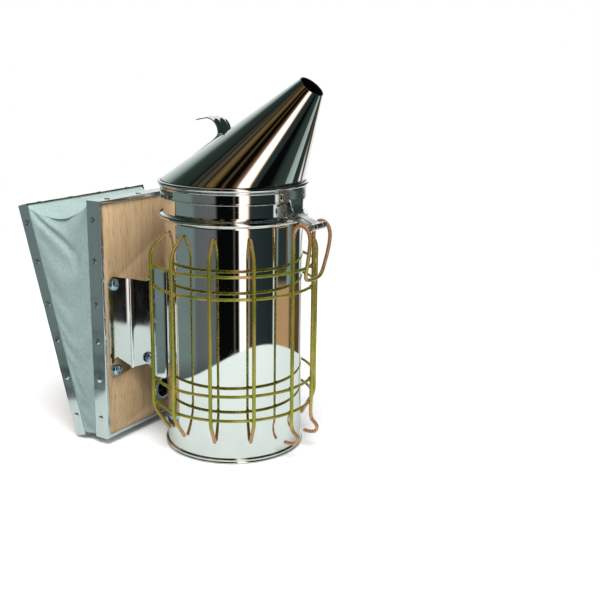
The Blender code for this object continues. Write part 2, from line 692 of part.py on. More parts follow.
def bellows_bracket(side, steel):
    """Folded sheet on one side: flange bolted to the board, web, and a tab that hugs the chamber."""
    name = "bellows_bracket_near" if side < 0 else "bellows_bracket_far"
    flange_x = BOARD_FACE_X + GAP
    corner = 6.0 * MM
    outer = FLANGE_OUTER_Y - corner
    outline = [(WEB_Y - BRACKET_SHEET, 124.0 * MM), (WEB_Y - BRACKET_SHEET, 54.0 * MM)]
    outline += arc_points((outer, FLANGE_BOTTOM + corner), corner, -90, 0, 4)
    outline += arc_points((outer, FLANGE_TOP - corner), corner, 0, 90, 4)
    flange = prism(outline, flange_x, flange_x + BRACKET_SHEET, lambda u, v, w: (w, side * u, v))
    bracket = finish_object(name, flange, steel)
    web_outline = [
        (-70.0, 54.0), (-54.0, 60.0), (-51.0, 57.5), (-47.0, 51.5), (-36.3, 51.5),
        (-36.3, 134.3), (-42.0, 135.3), (-47.5, 132.0), (-51.0, 127.7), (-51.6, 124.0), (-70.0, 124.0),
    ]
    web_outline = [(max(u * MM, flange_x), v * MM) for u, v in web_outline]
    web = prism(web_outline, WEB_Y - BRACKET_SHEET, WEB_Y, lambda u, v, w: (u, side * w, v))
    combine(bracket, finish_object(f"{name}_web", web, steel), "UNION")
    tab_centre = math.radians(180 + side * -38.0)
    tab = curved_patch(CHAMBER_R + GAP, BRACKET_SHEET, math.radians(7.2), 54 * MM, 132 * MM, tab_centre)
    combine(bracket, finish_object(f"{name}_tab", tab, steel), "UNION")
    for number, height in enumerate(BOLT_HEIGHTS):
        drill = lathe_solid([(BOLT_HOLE, -5 * MM), (BOLT_HOLE, 5 * MM)], 12)
        drill = rotate_to_x(drill, (flange_x, side * BOLT_Y, height))
        combine(bracket, finish_object(f"{name}_drill_{number}", drill, steel), "DIFFERENCE")


def bracket_fasteners(zinc):
    """Four pan-head bolts through bracket and board, each with a nut inside the bellows."""
    head_x = BOARD_FACE_X + GAP + BRACKET_SHEET + GAP
    back_x = BOARD_FACE_X - BOARD_THICK
    number = 0
    for height in BOLT_HEIGHTS:
        for side in (-1, 1):
            number += 1
            profile = [
                (BOLT_SHANK, back_x - 3.4 * MM - head_x),
                (BOLT_SHANK, 0.0),
                (BOLT_HEAD_R, 0.0),
                (BOLT_HEAD_R, 0.35 * BOLT_HEAD_HEIGHT),
                (0.8 * BOLT_HEAD_R, 0.8 * BOLT_HEAD_HEIGHT),
                (0.4 * BOLT_HEAD_R, BOLT_HEAD_HEIGHT),
            ]
            bolt = rotate_to_x(lathe_solid(profile, 12), (head_x, side * BOLT_Y, height))
            finish_object(f"bracket_bolt_{number}", bolt, zinc)
            nut_profile = [(NUT_BORE, 0.0), (NUT_R, 0.0), (NUT_R, NUT_HEIGHT), (NUT_BORE, NUT_HEIGHT)]
            nut_x = back_x - GAP - NUT_HEIGHT
            nut = rotate_to_x(lathe(nut_profile, 6), (nut_x, side * BOLT_Y, height))
            finish_object(f"bracket_nut_{number}", nut, zinc)


def main():
    clear_scene()
    steel = make_material("polished_stainless", (0.78, 0.79, 0.78), 0.06, 1.0)
    zinc = make_material("yellow_zinc_wire", (0.55, 0.48, 0.20), 0.28, 1.0)
    blue_zinc = make_material("blue_zinc", (0.55, 0.65, 0.75), 0.2, 1.0)
    tin = make_material("tin_edging", (0.72, 0.75, 0.76), 0.25, 1.0)
    wood = make_material("veneer_plywood", (0.66, 0.48, 0.32), 0.6, 0.0)
    cloth = make_material("coated_cloth", (0.70, 0.77, 0.76), 0.75, 0.0)
    spring_steel = make_material("spring_steel", (0.30, 0.31, 0.33), 0.35, 1.0)

    chamber_barrel(steel)
    chamber_base(steel)
    air_inlet_tube(steel)
    fire_grate(steel)
    guard_rings(zinc)
    guard_uprights(zinc)
    hanging_hook(zinc)
    spout_cone(steel)
    lid_skirt(steel)
    thumb_lever(steel)
    lid_hinge_strap(steel)
    hinge_bracket(steel)
    hinge_pin(steel)
    inner_bellows_board(wood, tin)
    air_eyelet(tin)
    outer_bellows_board(wood, tin)
    bellows_skirt(cloth)
    bellows_spring(spring_steel)
    bellows_bracket(-1, steel)
    bellows_bracket(1, steel)
    bracket_fasteners(blue_zinc)


main()
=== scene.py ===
"""Looks of the bee smoker: fine sheet metal, wire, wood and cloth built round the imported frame.

Metres, +Z up, the same frame as the CAD: the fire chamber's axis is Z, the lid hinge is at +X and the
bellows at -X. Every piece mirrors across y = 0.
"""

import json
import math
import random

import bmesh
import bpy
from mathutils import Matrix, Vector, noise


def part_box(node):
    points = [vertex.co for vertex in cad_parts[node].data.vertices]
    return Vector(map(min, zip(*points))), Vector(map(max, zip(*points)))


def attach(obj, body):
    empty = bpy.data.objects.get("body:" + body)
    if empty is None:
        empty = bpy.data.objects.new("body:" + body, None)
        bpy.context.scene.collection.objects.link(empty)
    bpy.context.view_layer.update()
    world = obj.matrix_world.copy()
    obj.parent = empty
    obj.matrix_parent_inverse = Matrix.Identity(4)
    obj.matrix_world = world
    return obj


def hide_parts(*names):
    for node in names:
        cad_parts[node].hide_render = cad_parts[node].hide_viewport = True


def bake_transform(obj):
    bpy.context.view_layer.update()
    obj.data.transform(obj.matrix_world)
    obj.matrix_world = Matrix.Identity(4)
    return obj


MM = 0.001

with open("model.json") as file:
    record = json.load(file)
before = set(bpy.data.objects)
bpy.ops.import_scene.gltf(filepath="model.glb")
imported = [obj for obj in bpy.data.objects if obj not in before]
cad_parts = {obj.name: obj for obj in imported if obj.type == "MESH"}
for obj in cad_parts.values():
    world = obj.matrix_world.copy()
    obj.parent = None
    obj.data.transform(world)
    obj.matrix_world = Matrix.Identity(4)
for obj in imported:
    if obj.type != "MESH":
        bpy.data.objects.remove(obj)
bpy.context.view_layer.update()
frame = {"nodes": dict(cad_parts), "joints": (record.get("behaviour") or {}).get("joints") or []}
joints = {joint["name"]: joint for joint in frame["joints"]}
lid_axis = Vector(joints["lid_hinge"]["pos_m"])
bellows_axis = Vector(joints["bellows_squeeze"]["pos_m"])

# Fire chamber, from the frame's boxes
CHAMBER_R = 50.8 * MM
WALL = 0.8 * MM
CHAMBER_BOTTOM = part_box("chamber_barrel")[0].z
CHAMBER_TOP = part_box("chamber_barrel")[1].z
BEAD_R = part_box("chamber_barrel")[1].x
BEAD_Z = 175.0 * MM
BEAD_RADIUS = 2.0 * MM
PAN_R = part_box("chamber_base")[1].x
PAN_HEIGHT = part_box("chamber_base")[1].z
INLET_Z = 19.5 * MM
INLET_HOLE_R = 7.3 * MM
TURN_STEPS = 160

# Lid
SKIRT_R = 53.0 * MM
SKIRT_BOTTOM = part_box("lid_skirt")[0].z
ROLL_R = 53.2 * MM
ROLL_Z = 198.6 * MM
ROLL_RADIUS = 1.5 * MM
CONE_BASE_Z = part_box("spout_cone")[0].z
CONE_BASE_R = 52.0 * MM
CONE_WALL = 0.9 * MM
TIP_CENTRE = Vector((64.35 * MM, 0, 266.9 * MM))
TIP_R = 9.3 * MM
TIP_TILT = math.radians(40)
LEVER_HALF_WIDTH = 8.0 * MM
LEVER_THICK = 0.8 * MM
LEVER_LIFT = LEVER_THICK / 2 + 0.2 * MM
RIB_DEPTH = 0.75 * MM
SEAM_AZIMUTH = math.radians(-18.2)
SEAM_R = 0.42 * MM

# Lid hinge
HINGE_SHEET = 0.7 * MM
KNUCKLE_OUTER = 2.5 * MM
KNUCKLE_BORE = 1.45 * MM
LID_KNUCKLE_HALF = 3.9 * MM
EAR_INNER_Y = 4.2 * MM
EAR_OUTER_Y = 8.0 * MM
STRAP_LOW = 188.6 * MM
STRAP_HIGH = 196.0 * MM
BRACKET_PLATE_LOW = 177.7 * MM
BRACKET_PLATE_HIGH = 187.5 * MM
SPOT_WELD_R = 1.5 * MM

# Wire guard
RING_WIRE = 1.1 * MM
UPRIGHT_WIRE = 1.35 * MM
GUARD_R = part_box("guard_ring_1")[1].x - RING_WIRE
UPRIGHT_SPACING = math.radians(28.3)
RING_HALF_ARC = 4.54 * UPRIGHT_SPACING
UPRIGHT_R = GUARD_R + RING_WIRE + 0.3 * MM + UPRIGHT_WIRE
HOOK_Y = 13.9 * MM
HOOK_X = 59.9 * MM

# Bellows
SHEET = 0.5 * MM
GAP = 0.3 * MM
BOARD_FACE_X = -70.0 * MM
BOARD_THICK = 9.5 * MM
BOARD_HALF_WIDTH = 66.5 * MM
BOARD_BOTTOM = 5.2 * MM
BOARD_LENGTH = 180.1 * MM
EDGING_LIP = 3.0 * MM
INNER_DEPTH = 12.0 * MM
OUTER_DEPTH = 10.0 * MM
OVERHANG = 1.7 * MM
OUTER_FACE = -14.7 * MM
OUTER_BOTTOM = 1.7 * MM
BELLOWS_TILT = math.radians(15.74)
TACKS_LONG_SIDE = 6
TACKS_SHORT_SIDE = 4
TACK_DENT = 0.35 * MM
TACK_DENT_R = 4.5 * MM

# Cloth sleeve
SLEEVE_INSET = SHEET + 0.15 * MM
CLOTH_THICK = 0.9 * MM
ROOF_SAG = 12.0 * MM
CREASE_REACH = 0.23
CREASE_MEETING = 0.3
CREASE_DEPTH = 5.0 * MM
CREASE_WIDTH = 3.6 * MM
CLOTH_FRAMES = 18
CLOTH_LIMIT = 1.3 * MM

# Bellows bracket
BRACKET_SHEET = 1.0 * MM
WEB_Y = 36.5 * MM
FLANGE_X = BOARD_FACE_X + GAP + BRACKET_SHEET / 2
BOLT_Y = 55.0 * MM
BOLT_HEIGHTS = (123.0 * MM, 57.5 * MM)
BOLT_HEAD_R = 4.3 * MM
BOLT_HEAD_HEIGHT = 2.8 * MM
BOLT_SHANK_R = 2.0 * MM
CROSS_REACH = 2.2 * MM
CROSS_HALF_WIDTH = 0.48 * MM
CROSS_DEPTH = 1.5 * MM

# Fire grate
GRATE_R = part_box("fire_grate")[1].y
GRATE_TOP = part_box("fire_grate")[1].z
GRATE_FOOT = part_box("fire_grate")[0].z
GRATE_THICK = 1.0 * MM
GRATE_HOLE_R = 4.2 * MM
TONGUE_HALF_WIDTH = 3.6 * MM
TONGUE_AZIMUTH = math.radians(30)
LEG_R = 39.8 * MM
LEG_THICK = 0.9 * MM
LEG_HALF_WIDTH = 3.4 * MM
THIRD_TURN = math.radians(120)

# Camera and studio
CAMERA_PLACE = Vector((0.39378, -0.56432, 0.28773))
CAMERA_FORWARD = Vector((-0.49567, 0.83159, -0.25053))
CAMERA_ROLL = 0.0138
CAMERA_LENS = 56.94
VIEW_AZIMUTH = math.atan2(CAMERA_PLACE.y, CAMERA_PLACE.x)
TABLE_CENTRE = (0.056, 0.049)
TABLE_R = 0.256
FLOOR_HALF_SIDE = 4.0
FLOOR_FADE_START = 0.35
FLOOR_FADE_END = 0.85


# ---------------------------------------------------------------- mesh helpers


def add_object(name, bm, material, sharp_degrees=35):
    """Turns the bmesh into a smooth-shaded object."""
    bmesh.ops.recalc_face_normals(bm, faces=bm.faces)
    mesh = bpy.data.meshes.new(name)
    bm.to_mesh(mesh)
    bm.free()
    mesh.shade_smooth()
    mesh.set_sharp_from_angle(angle=math.radians(sharp_degrees))
    made = bpy.data.objects.new(name, mesh)
    made.data.materials.append(material)
    bpy.context.scene.collection.objects.link(made)
    return made


def settle(piece, slot, body, *nodes):
    """Puts a finished piece on its body and hides the CAD nodes it stands for. The slot argument is not used.
    """
    if body:
        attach(piece, body)
    if nodes:
        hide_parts(*nodes)
    return piece


def bake(piece):
    """Replaces the piece's mesh with what its modifiers give."""
    bpy.context.view_layer.update()
    evaluated = piece.evaluated_get(bpy.context.evaluated_depsgraph_get())
    mesh = bpy.data.meshes.new_from_object(evaluated)
    piece.modifiers.clear()
    piece.data = mesh
    return piece


def cut(piece, tool_bm):
    """Cuts the tool out of the piece with an exact Boolean."""
    tool = add_object("tool", tool_bm, piece.data.materials[0])
    modifier = piece.modifiers.new("Cut", "BOOLEAN")
    modifier.operation = "DIFFERENCE"
    modifier.solver = "EXACT"
    modifier.object = tool
    bake(piece)
    bpy.data.objects.remove(tool)
    piece.data.shade_smooth()
    piece.data.set_sharp_from_angle(angle=math.radians(35))


def ring_faces(bm, first, second):
    count = len(first)
    for i in range(count):
        j = (i + 1) % count
        bm.faces.new((first[i], first[j], second[j], second[i]))


def lathe(profile, steps=TURN_STEPS, start=0.0, sweep=2 * math.pi):
    """Turns a closed (radius, height) outline round Z."""
    bm = bmesh.new()
    whole = abs(sweep - 2 * math.pi) < 1e-6
    rings = []
    for i in range(steps if whole else steps + 1):
        angle = start + sweep * i / steps
        rings.append([bm.verts.new((r * math.cos(angle), r * math.sin(angle), z)) for r, z in profile])
    for i in range(steps):
        ring_faces(bm, rings[i], rings[(i + 1) % len(rings)])
    if not whole:
        bm.faces.new(rings[0])
        bm.faces.new(reversed(rings[-1]))
    return bm


def solid_of_rings(profile, steps, bm=None):
    """Turns an open (radius, height) outline round Z and closes both ends."""
    bm = bm or bmesh.new()
    loops = []
    for r, z in profile:
        angles = [2 * math.pi * i / steps for i in range(steps)]
        loops.append([bm.verts.new((r * math.cos(a), r * math.sin(a), z)) for a in angles])
    for lower, upper in zip(loops, loops[1:]):
        ring_faces(bm, lower, upper)
    bm.faces.new(loops[0])
    bm.faces.new(reversed(loops[-1]))
    return bm


def arc(centre, radius, first_degrees, last_degrees, count):
    points = []
    for i in range(count):
        angle = math.radians(first_degrees + (last_degrees - first_degrees) * i / (count - 1))
        points.append((centre[0] + radius * math.cos(angle), centre[1] + radius * math.sin(angle)))
    return points


def curve_point(a, b, c, d, share):
    """Point between b and c on the centripetal Catmull-Rom curve through a, b, c and d."""
    t1 = (b - a).length ** 0.5
    t2 = t1 + (c - b).length ** 0.5
    t3 = t2 + (d - c).length ** 0.5
    t = t1 + share * (t2 - t1)
    first = a.lerp(b, t / t1)
    second = b.lerp(c, (t - t1) / (t2 - t1))
    third = c.lerp(d, (t - t2) / (t3 - t2))
    early = first.lerp(second, t / t2)
    late = second.lerp(third, (t - t1) / (t3 - t1))
    return early.lerp(late, share)


def smooth_path(points, per_span=6):
    """Rounds the bends of a path."""
    path = [Vector(p) for p in points]
    ends = [2 * path[0] - path[1]] + path + [2 * path[-1] - path[-2]]
    made = []
    for i in range(1, len(ends) - 2):
        for k in range(per_span):
            made.append(curve_point(*ends[i - 1:i + 3], k / per_span))
    made.append(path[-1])
    return made


def tube(bm, path, radius, sides=16):
    """A round wire along a path, with domed ends."""
    tangents = []
    for i in range(len(path)):
        tangents.append((path[min(i + 1, len(path) - 1)] - path[max(i - 1, 0)]).normalized())
    stations = []
    for angle in (80, 60, 40, 20):
        stations.append((path[0] - tangents[0] * radius * math.sin(math.radians(angle)) * 0.6,
                         tangents[0], radius * math.cos(math.radians(angle))))
    stations += [(p, t, radius) for p, t in zip(path, tangents)]
    for angle in (20, 40, 60, 80):
        stations.append((path[-1] + tangents[-1] * radius * math.sin(math.radians(angle)) * 0.6,
                         tangents[-1], radius * math.cos(math.radians(angle))))
    side = tangents[0].orthogonal().normalized()
    rings = []
    for point, tangent, size in stations:
        side = (side - tangent * side.dot(tangent)).normalized()
        other = tangent.cross(side)
        ring = []
        for k in range(sides):
            angle = 2 * math.pi * k / sides
            ring.append(bm.verts.new(point + size * (side * math.cos(angle) + other * math.sin(angle))))
        rings.append(ring)
    for first, second in zip(rings, rings[1:]):
        ring_faces(bm, first, second)
    bm.faces.new(rings[0])
    bm.faces.new(reversed(rings[-1]))
    return bm


def strip(bm, path, half_widths, thick, crown=None, columns=14):
    """A bent sheet strip across Y: path holds (x, z) of its mid line, crown(y share) raises its face."""
    count = len(path)
    rings = []
    for i, (x, z) in enumerate(path):
        ahead = Vector(path[min(i + 1, count - 1)])
        behind = Vector(path[max(i - 1, 0)])
        along = (ahead - behind).normalized()
        normal = Vector((-along.y, along.x))
        ring = []
        for side, order in ((1, range(columns + 1)), (-1, range(columns, -1, -1))):
            for k in order:
                share = 2 * k / columns - 1
                lift = side * thick / 2 + (crown(share, i / (count - 1)) if crown else 0.0)
                ring.append(bm.verts.new((x + lift * normal.x, share * half_widths[i], z + lift * normal.y)))
        rings.append(ring)
    for first, second in zip(rings, rings[1:]):
        ring_faces(bm, first, second)
    bm.faces.new(rings[0])
    bm.faces.new(reversed(rings[-1]))
    return bm


def standing_sheet(bm, stations, thick, rows=10, wave=0.0):
    """A sheet standing along Z: stations hold (x, y, low z, high z) along its plan line."""
    count = len(stations)
    columns = []
    for i, (x, y, low, high) in enumerate(stations):
        ahead = stations[min(i + 1, count - 1)]
        behind = stations[max(i - 1, 0)]
        along = Vector((ahead[0] - behind[0], ahead[1] - behind[1])).normalized()
        normal = Vector((-along.y, along.x))
        column = []
        for side, order in ((0.5, range(rows + 1)), (-0.5, range(rows, -1, -1))):
            for k in order:
                z = low + (high - low) * k / rows
                swell = wave * noise.noise(Vector((x, y, z)) * 30)
                offset = side * thick + swell
                column.append(bm.verts.new((x + offset * normal.x, y + offset * normal.y, z)))
        columns.append(column)
    for first, second in zip(columns, columns[1:]):
        ring_faces(bm, first, second)
    bm.faces.new(columns[0])
    bm.faces.new(reversed(columns[-1]))
    return bm


def round_plate(bm, radius, thick, centre, half_angle, low, high, corner, steps=48):
    """A rounded plate that hugs the chamber between two heights."""
    stations = []
    half_length = half_angle * radius
    for i in range(steps + 1):
        share = -math.cos(math.pi * i / steps)
        from_end = half_length * (1 - abs(share))
        reach = min(max(corner - from_end, 0.0), corner * 0.999)
        inset = corner - math.sqrt(corner * corner - reach * reach)
        angle = centre + share * half_angle
        mid = radius + thick / 2
        stations.append((mid * math.cos(angle), mid * math.sin(angle), low + inset, high - inset))
    return standing_sheet(bm, stations, thick, rows=6)


def lay_along_x(bm, place):
    bm.transform(Matrix.Translation(place) @ Matrix.Rotation(math.pi / 2, 4, "Y"))
    return bm


def join_into(bm, other):
    """Adds another bmesh's faces and frees it."""
    mesh = bpy.data.meshes.new("part")
    other.to_mesh(mesh)
    other.free()
    bm.from_mesh(mesh)
    bpy.data.meshes.remove(mesh)


def outer_frame():
    """Placement of the outer board: local x is the distance behind the pivot, local z runs up it."""
    return Matrix.Translation(bellows_axis) @ Matrix.Rotation(-BELLOWS_TILT, 4, "Y")


# ---------------------------------------------------------------- materials


class Nodes:
    """Adds and links nodes in one tree."""

    def __init__(self, tree):
        self.tree = tree

    def node(self, kind, **settings):
        made = self.tree.nodes.new(kind)
        for key, value in settings.items():
            if key in made.inputs:
                made.inputs[key].default_value = value
            else:
                setattr(made, key, value)
        return made

    def link(self, source, target):
        self.tree.links.new(source, target)

    def fill(self, socket, value):
        """Sets a socket, or links it when the value is another node's output."""
        if hasattr(value, "is_output"):
            self.link(value, socket)
        else:
            socket.default_value = value

    def ramp(self, source, stops):
        ramp = self.node("ShaderNodeValToRGB")
        fill_ramp(ramp.color_ramp, stops)
        self.link(source, ramp.inputs["Fac"])
        return ramp.outputs["Color"]

    def span(self, source, low, high, to_low, to_high):
        """Maps a value's range onto another."""
        mapped = self.node("ShaderNodeMapRange")
        for key, value in (("From Min", low), ("From Max", high), ("To Min", to_low), ("To Max", to_high)):
            mapped.inputs[key].default_value = value
        self.link(source, mapped.inputs["Value"])
        return mapped.outputs["Result"]

    def mix(self, share, first, second, blend="MIX"):
        mixed = self.node("ShaderNodeMix", data_type="RGBA", blend_type=blend)
        self.fill(mixed.inputs[0], share)
        self.fill(mixed.inputs[6], first)
        self.fill(mixed.inputs[7], second)
        return mixed.outputs[2]

    def maths(self, operation, first, second=0.0):
        made = self.node("ShaderNodeMath", operation=operation)
        self.fill(made.inputs[0], first)
        self.fill(made.inputs[1], second)
        return made.outputs[0]


class Finish(Nodes):
    """A node-based material with a Principled shader."""

    def __init__(self, name):
        self.material = bpy.data.materials.new(name)
        self.material.use_nodes = True
        super().__init__(self.material.node_tree)
        self.shader = self.tree.nodes["Principled BSDF"]
        self.place = self.node("ShaderNodeTexCoord").outputs["Object"]

    def noise(self, scale=(1, 1, 1), size=10.0, detail=4.0, rough=0.5):
        """Noise over the place on the object, stretched by a scale along each axis."""
        mapping = self.node("ShaderNodeMapping")
        mapping.inputs["Scale"].default_value = scale
        self.link(self.place, mapping.inputs["Vector"])
        texture = self.node("ShaderNodeTexNoise", Scale=size, Detail=detail, Roughness=rough)
        self.link(mapping.outputs["Vector"], texture.inputs["Vector"])
        return texture.outputs["Fac"]

    def bump(self, height, strength, distance, normal=None):
        made = self.node("ShaderNodeBump", Strength=strength, Distance=distance)
        self.link(height, made.inputs["Height"])
        if normal:
            self.link(normal, made.inputs["Normal"])
        return made.outputs["Normal"]

    def feed(self, **sockets):
        """Sets or links the Principled shader's inputs; underscores stand for spaces."""
        for key, value in sockets.items():
            self.fill(self.shader.inputs[key.replace("_", " ")], value)
        return self.material


def fill_ramp(ramp, stops):
    while len(ramp.elements) > 1:
        ramp.elements.remove(ramp.elements[-1])
    ramp.elements[0].position = stops[0][0]
    ramp.elements[0].color = (*stops[0][1], 1.0)
    for position, colour in stops[1:]:
        element = ramp.elements.new(position)
        element.color = (*colour, 1.0)


def polished_steel(name="polished_stainless", tint=(0.83, 0.83, 0.81), dull=0.0):
    """Mirror sheet: faint waves in the sheet, hair scratches and a few smudges."""
    steel = Finish(name)
    waves = steel.noise((1, 1, 0.35), 22.0, 1.0)
    scratches = steel.noise((60, 60, 900), 2.2, 3.0, 0.7)
    smudges = steel.noise((1, 1, 1), 38.0, 5.0, 0.65)
    specks = steel.noise((1, 1, 1), 900.0, 2.0)
    rough = steel.span(smudges, 0.52, 0.78, 0.025 + dull, 0.11 + dull)
    marks = steel.span(specks, 0.70, 0.78, 0.0, 0.12)
    rough = steel.maths("ADD", rough, marks)
    colour = steel.mix(steel.span(smudges, 0.45, 0.8, 0.0, 1.0), (*tint, 1.0),
                       tuple(0.9 * c for c in tint) + (1.0,))
    normal = steel.bump(waves, 0.25, 0.0007)
    normal = steel.bump(scratches, 0.03, 0.00004, normal)
    return steel.feed(Base_Color=colour, Metallic=1.0, Roughness=rough, Normal=normal)


def shade_painted_steel():
    """Nearly black steel for the inside of spout and chamber: painted shade where little light gets in, dull
    and blotchy.
    """
    inside_shade = Finish("painted_shade_inside")
    patches = inside_shade.noise((1, 1, 0.5), 45.0, 6.0, 0.6)
    # painted shade: the inside is coloured nearly black, standing for the dark where little light reaches
    colour = inside_shade.ramp(patches, [(0.3, (0.006, 0.007, 0.007)), (0.7, (0.035, 0.034, 0.03))])
    rough = inside_shade.span(patches, 0.3, 0.7, 0.35, 0.6)
    return inside_shade.feed(Base_Color=colour, Metallic=0.6, Roughness=rough,
                     Normal=inside_shade.bump(patches, 0.3, 0.0003))


def yellow_zinc():
    """Yellow passivated zinc: olive and gold, turning copper-pink towards bends and wire ends."""
    zinc = Finish("yellow_zinc_wire")
    patches = zinc.noise((1, 1, 0.6), 52.0, 2.0, 0.5)
    fine = zinc.noise((1, 1, 1), 160.0, 2.0)
    hue = zinc.ramp(patches, [
        (0.30, (0.24, 0.26, 0.03)), (0.46, (0.36, 0.34, 0.045)), (0.56, (0.46, 0.38, 0.07)),
        (0.66, (0.56, 0.40, 0.12)), (0.76, (0.62, 0.36, 0.19)),
    ])
    height = zinc.node("ShaderNodeSeparateXYZ")
    zinc.link(zinc.place, height.inputs["Vector"])
    low = zinc.span(height.outputs["Z"], 0.034, 0.020, 0.0, 1.0)
    high = zinc.span(height.outputs["Z"], 0.150, 0.166, 0.0, 1.0)
    outward = zinc.span(height.outputs["X"], 0.0625, 0.068, 0.0, 1.0)
    front = zinc.maths("MULTIPLY", outward, zinc.span(height.outputs["Z"], 0.120, 0.135, 0.0, 1.0))
    bends = zinc.maths("MAXIMUM", zinc.maths("MAXIMUM", low, high), front)
    bends = zinc.maths("MULTIPLY", bends, zinc.span(patches, 0.36, 0.6, 0.25, 0.95))
    colour = zinc.mix(bends, hue, (0.72, 0.36, 0.20, 1.0))
    shade = zinc.ramp(fine, [(0.3, (0.35, 0.35, 0.35)), (0.7, (1, 1, 1))])
    colour = zinc.mix(0.12, colour, shade, "MULTIPLY")
    rough = zinc.span(fine, 0.3, 0.7, 0.24, 0.30)
    return zinc.feed(Base_Color=colour, Metallic=0.75, Roughness=rough, Normal=zinc.bump(fine, 0.04, 0.0001))


def blue_zinc():
    zinc = Finish("blue_zinc")
    patches = zinc.noise((1, 1, 1), 260.0, 4.0, 0.6)
    colour = zinc.ramp(patches, [
        (0.3, (0.20, 0.42, 0.62)), (0.55, (0.50, 0.68, 0.80)), (0.75, (0.72, 0.74, 0.86)),
    ])
    rough = zinc.span(patches, 0.3, 0.7, 0.12, 0.28)
    normal = zinc.bump(patches, 0.15, 0.0001)
    return zinc.feed(Base_Color=colour, Metallic=1.0, Roughness=rough, Normal=normal)


def tin_strip():
    """Thin bright strip, pressed by hand: soft dents, rub marks and a cool tint."""
    tin = Finish("tin_edging")
    dents = tin.noise((1, 1, 0.5), 60.0, 2.0)
    rubs = tin.noise((300, 300, 12), 1.6, 4.0, 0.7)
    colour = tin.ramp(rubs, [(0.3, (0.58, 0.63, 0.63)), (0.7, (0.68, 0.72, 0.72))])
    rough = tin.span(rubs, 0.3, 0.75, 0.13, 0.21)
    normal = tin.bump(dents, 0.15, 0.0009)
    normal = tin.bump(rubs, 0.02, 0.00005, normal)
    return tin.feed(Base_Color=colour, Metallic=0.96, Roughness=rough, Normal=normal)


def veneer():
    """Rotary-cut veneer: long pores and slow colour bands, all running up the board."""
    wood = Finish("veneer_plywood")
    drift = wood.noise((1, 1, 1), 14.0, 2.0)
    bent = wood.node("ShaderNodeVectorMath", operation="MULTIPLY_ADD")
    wood.link(wood.place, bent.inputs[0])
    bent.inputs[1].default_value = (1, 1, 1)
    shift = wood.node("ShaderNodeCombineXYZ")
    wood.link(wood.span(drift, 0.3, 0.7, -0.003, 0.003), shift.inputs["Y"])
    wood.link(shift.outputs["Vector"], bent.inputs[2])
    wood.place = bent.outputs["Vector"]
    slow = wood.noise((30, 40, 2.5), 1.0, 3.0, 0.55)
    grain = wood.noise((240, 300, 7), 1.5, 4.0, 0.65)
    pores = wood.noise((900, 1100, 60), 1.6, 2.0, 0.5)
    tone = wood.ramp(slow, [
        (0.30, (0.56, 0.39, 0.22)), (0.5, (0.65, 0.465, 0.27)), (0.7, (0.72, 0.53, 0.325)),
    ])
    streak = wood.ramp(grain, [
        (0.32, (0.82, 0.77, 0.70)), (0.55, (1.0, 1.0, 1.0)), (0.8, (1.08, 1.07, 1.05)),
    ])
    dark = wood.ramp(pores, [(0.34, (0.55, 0.46, 0.38)), (0.41, (1.0, 1.0, 1.0))])
    colour = wood.mix(0.8, tone, streak, "MULTIPLY")
    colour = wood.mix(0.85, colour, dark, "MULTIPLY")
    normal = wood.bump(grain, 0.3, 0.0003)
    normal = wood.bump(pores, 0.35, 0.0002, normal)
    return wood.feed(Base_Color=colour, Roughness=wood.span(grain, 0.3, 0.7, 0.5, 0.72), Normal=normal,
                     Specular_IOR_Level=0.3)


def coated_cloth():
    """Mint-grey coated cloth: pebbled grain over a fine weave."""
    cloth = Finish("coated_cloth")
    grain = cloth.node("ShaderNodeTexVoronoi", Scale=900.0)
    cloth.link(cloth.place, grain.inputs["Vector"])
    weave = cloth.noise((1, 1, 1), 620.0, 3.0, 0.7)
    blotch = cloth.noise((1, 1, 0.5), 30.0, 4.0, 0.6)
    tone = cloth.ramp(blotch, [(0.3, (0.30, 0.405, 0.385)), (0.7, (0.365, 0.475, 0.455))])
    speck = cloth.ramp(weave, [(0.3, (0.70, 0.74, 0.74)), (0.65, (1.07, 1.05, 1.05))])
    colour = cloth.mix(0.8, tone, speck, "MULTIPLY")
    normal = cloth.bump(grain.outputs["Distance"], 0.35, 0.0003)
    normal = cloth.bump(blotch, 0.25, 0.0012, normal)
    return cloth.feed(Base_Color=colour, Roughness=cloth.span(weave, 0.3, 0.7, 0.55, 0.75), Normal=normal,
                      Sheen_Weight=0.15, Sheen_Roughness=0.5, Specular_IOR_Level=0.35)


def dark_spring():
    spring = Finish("spring_steel")
    patches = spring.noise((1, 1, 0.3), 70.0, 5.0, 0.6)
    lines = spring.noise((900, 40, 40), 1.0, 3.0)
    colour = spring.ramp(patches, [(0.3, (0.16, 0.17, 0.19)), (0.7, (0.32, 0.32, 0.33))])
    rough = spring.span(lines, 0.3, 0.7, 0.25, 0.45)
    normal = spring.bump(lines, 0.15, 0.0001)
    return spring.feed(Base_Color=colour, Metallic=1.0, Roughness=rough, Normal=normal)


def brass_solder():
    solder = Finish("brass_solder")
    patches = solder.noise((1, 1, 1), 500.0, 4.0)
    colour = solder.ramp(patches, [(0.35, (0.10, 0.07, 0.02)), (0.65, (0.55, 0.42, 0.12))])
    return solder.feed(Base_Color=colour, Metallic=0.9, Roughness=solder.span(patches, 0.3, 0.7, 0.25, 0.5),
                       Normal=solder.bump(patches, 0.5, 0.0002))


steel = polished_steel()
bent_steel = polished_steel("pressed_stainless", (0.78, 0.79, 0.78), 0.02)
satin_steel = polished_steel("satin_stainless", (0.86, 0.87, 0.86), 0.22)
painted_shade_inside = shade_painted_steel()
zinc_wire = yellow_zinc()
bolt_zinc = blue_zinc()
tin = tin_strip()
wood = veneer()
cloth_finish = coated_cloth()
spring_finish = dark_spring()
solder = brass_solder()


# ---------------------------------------------------------------- fire chamber


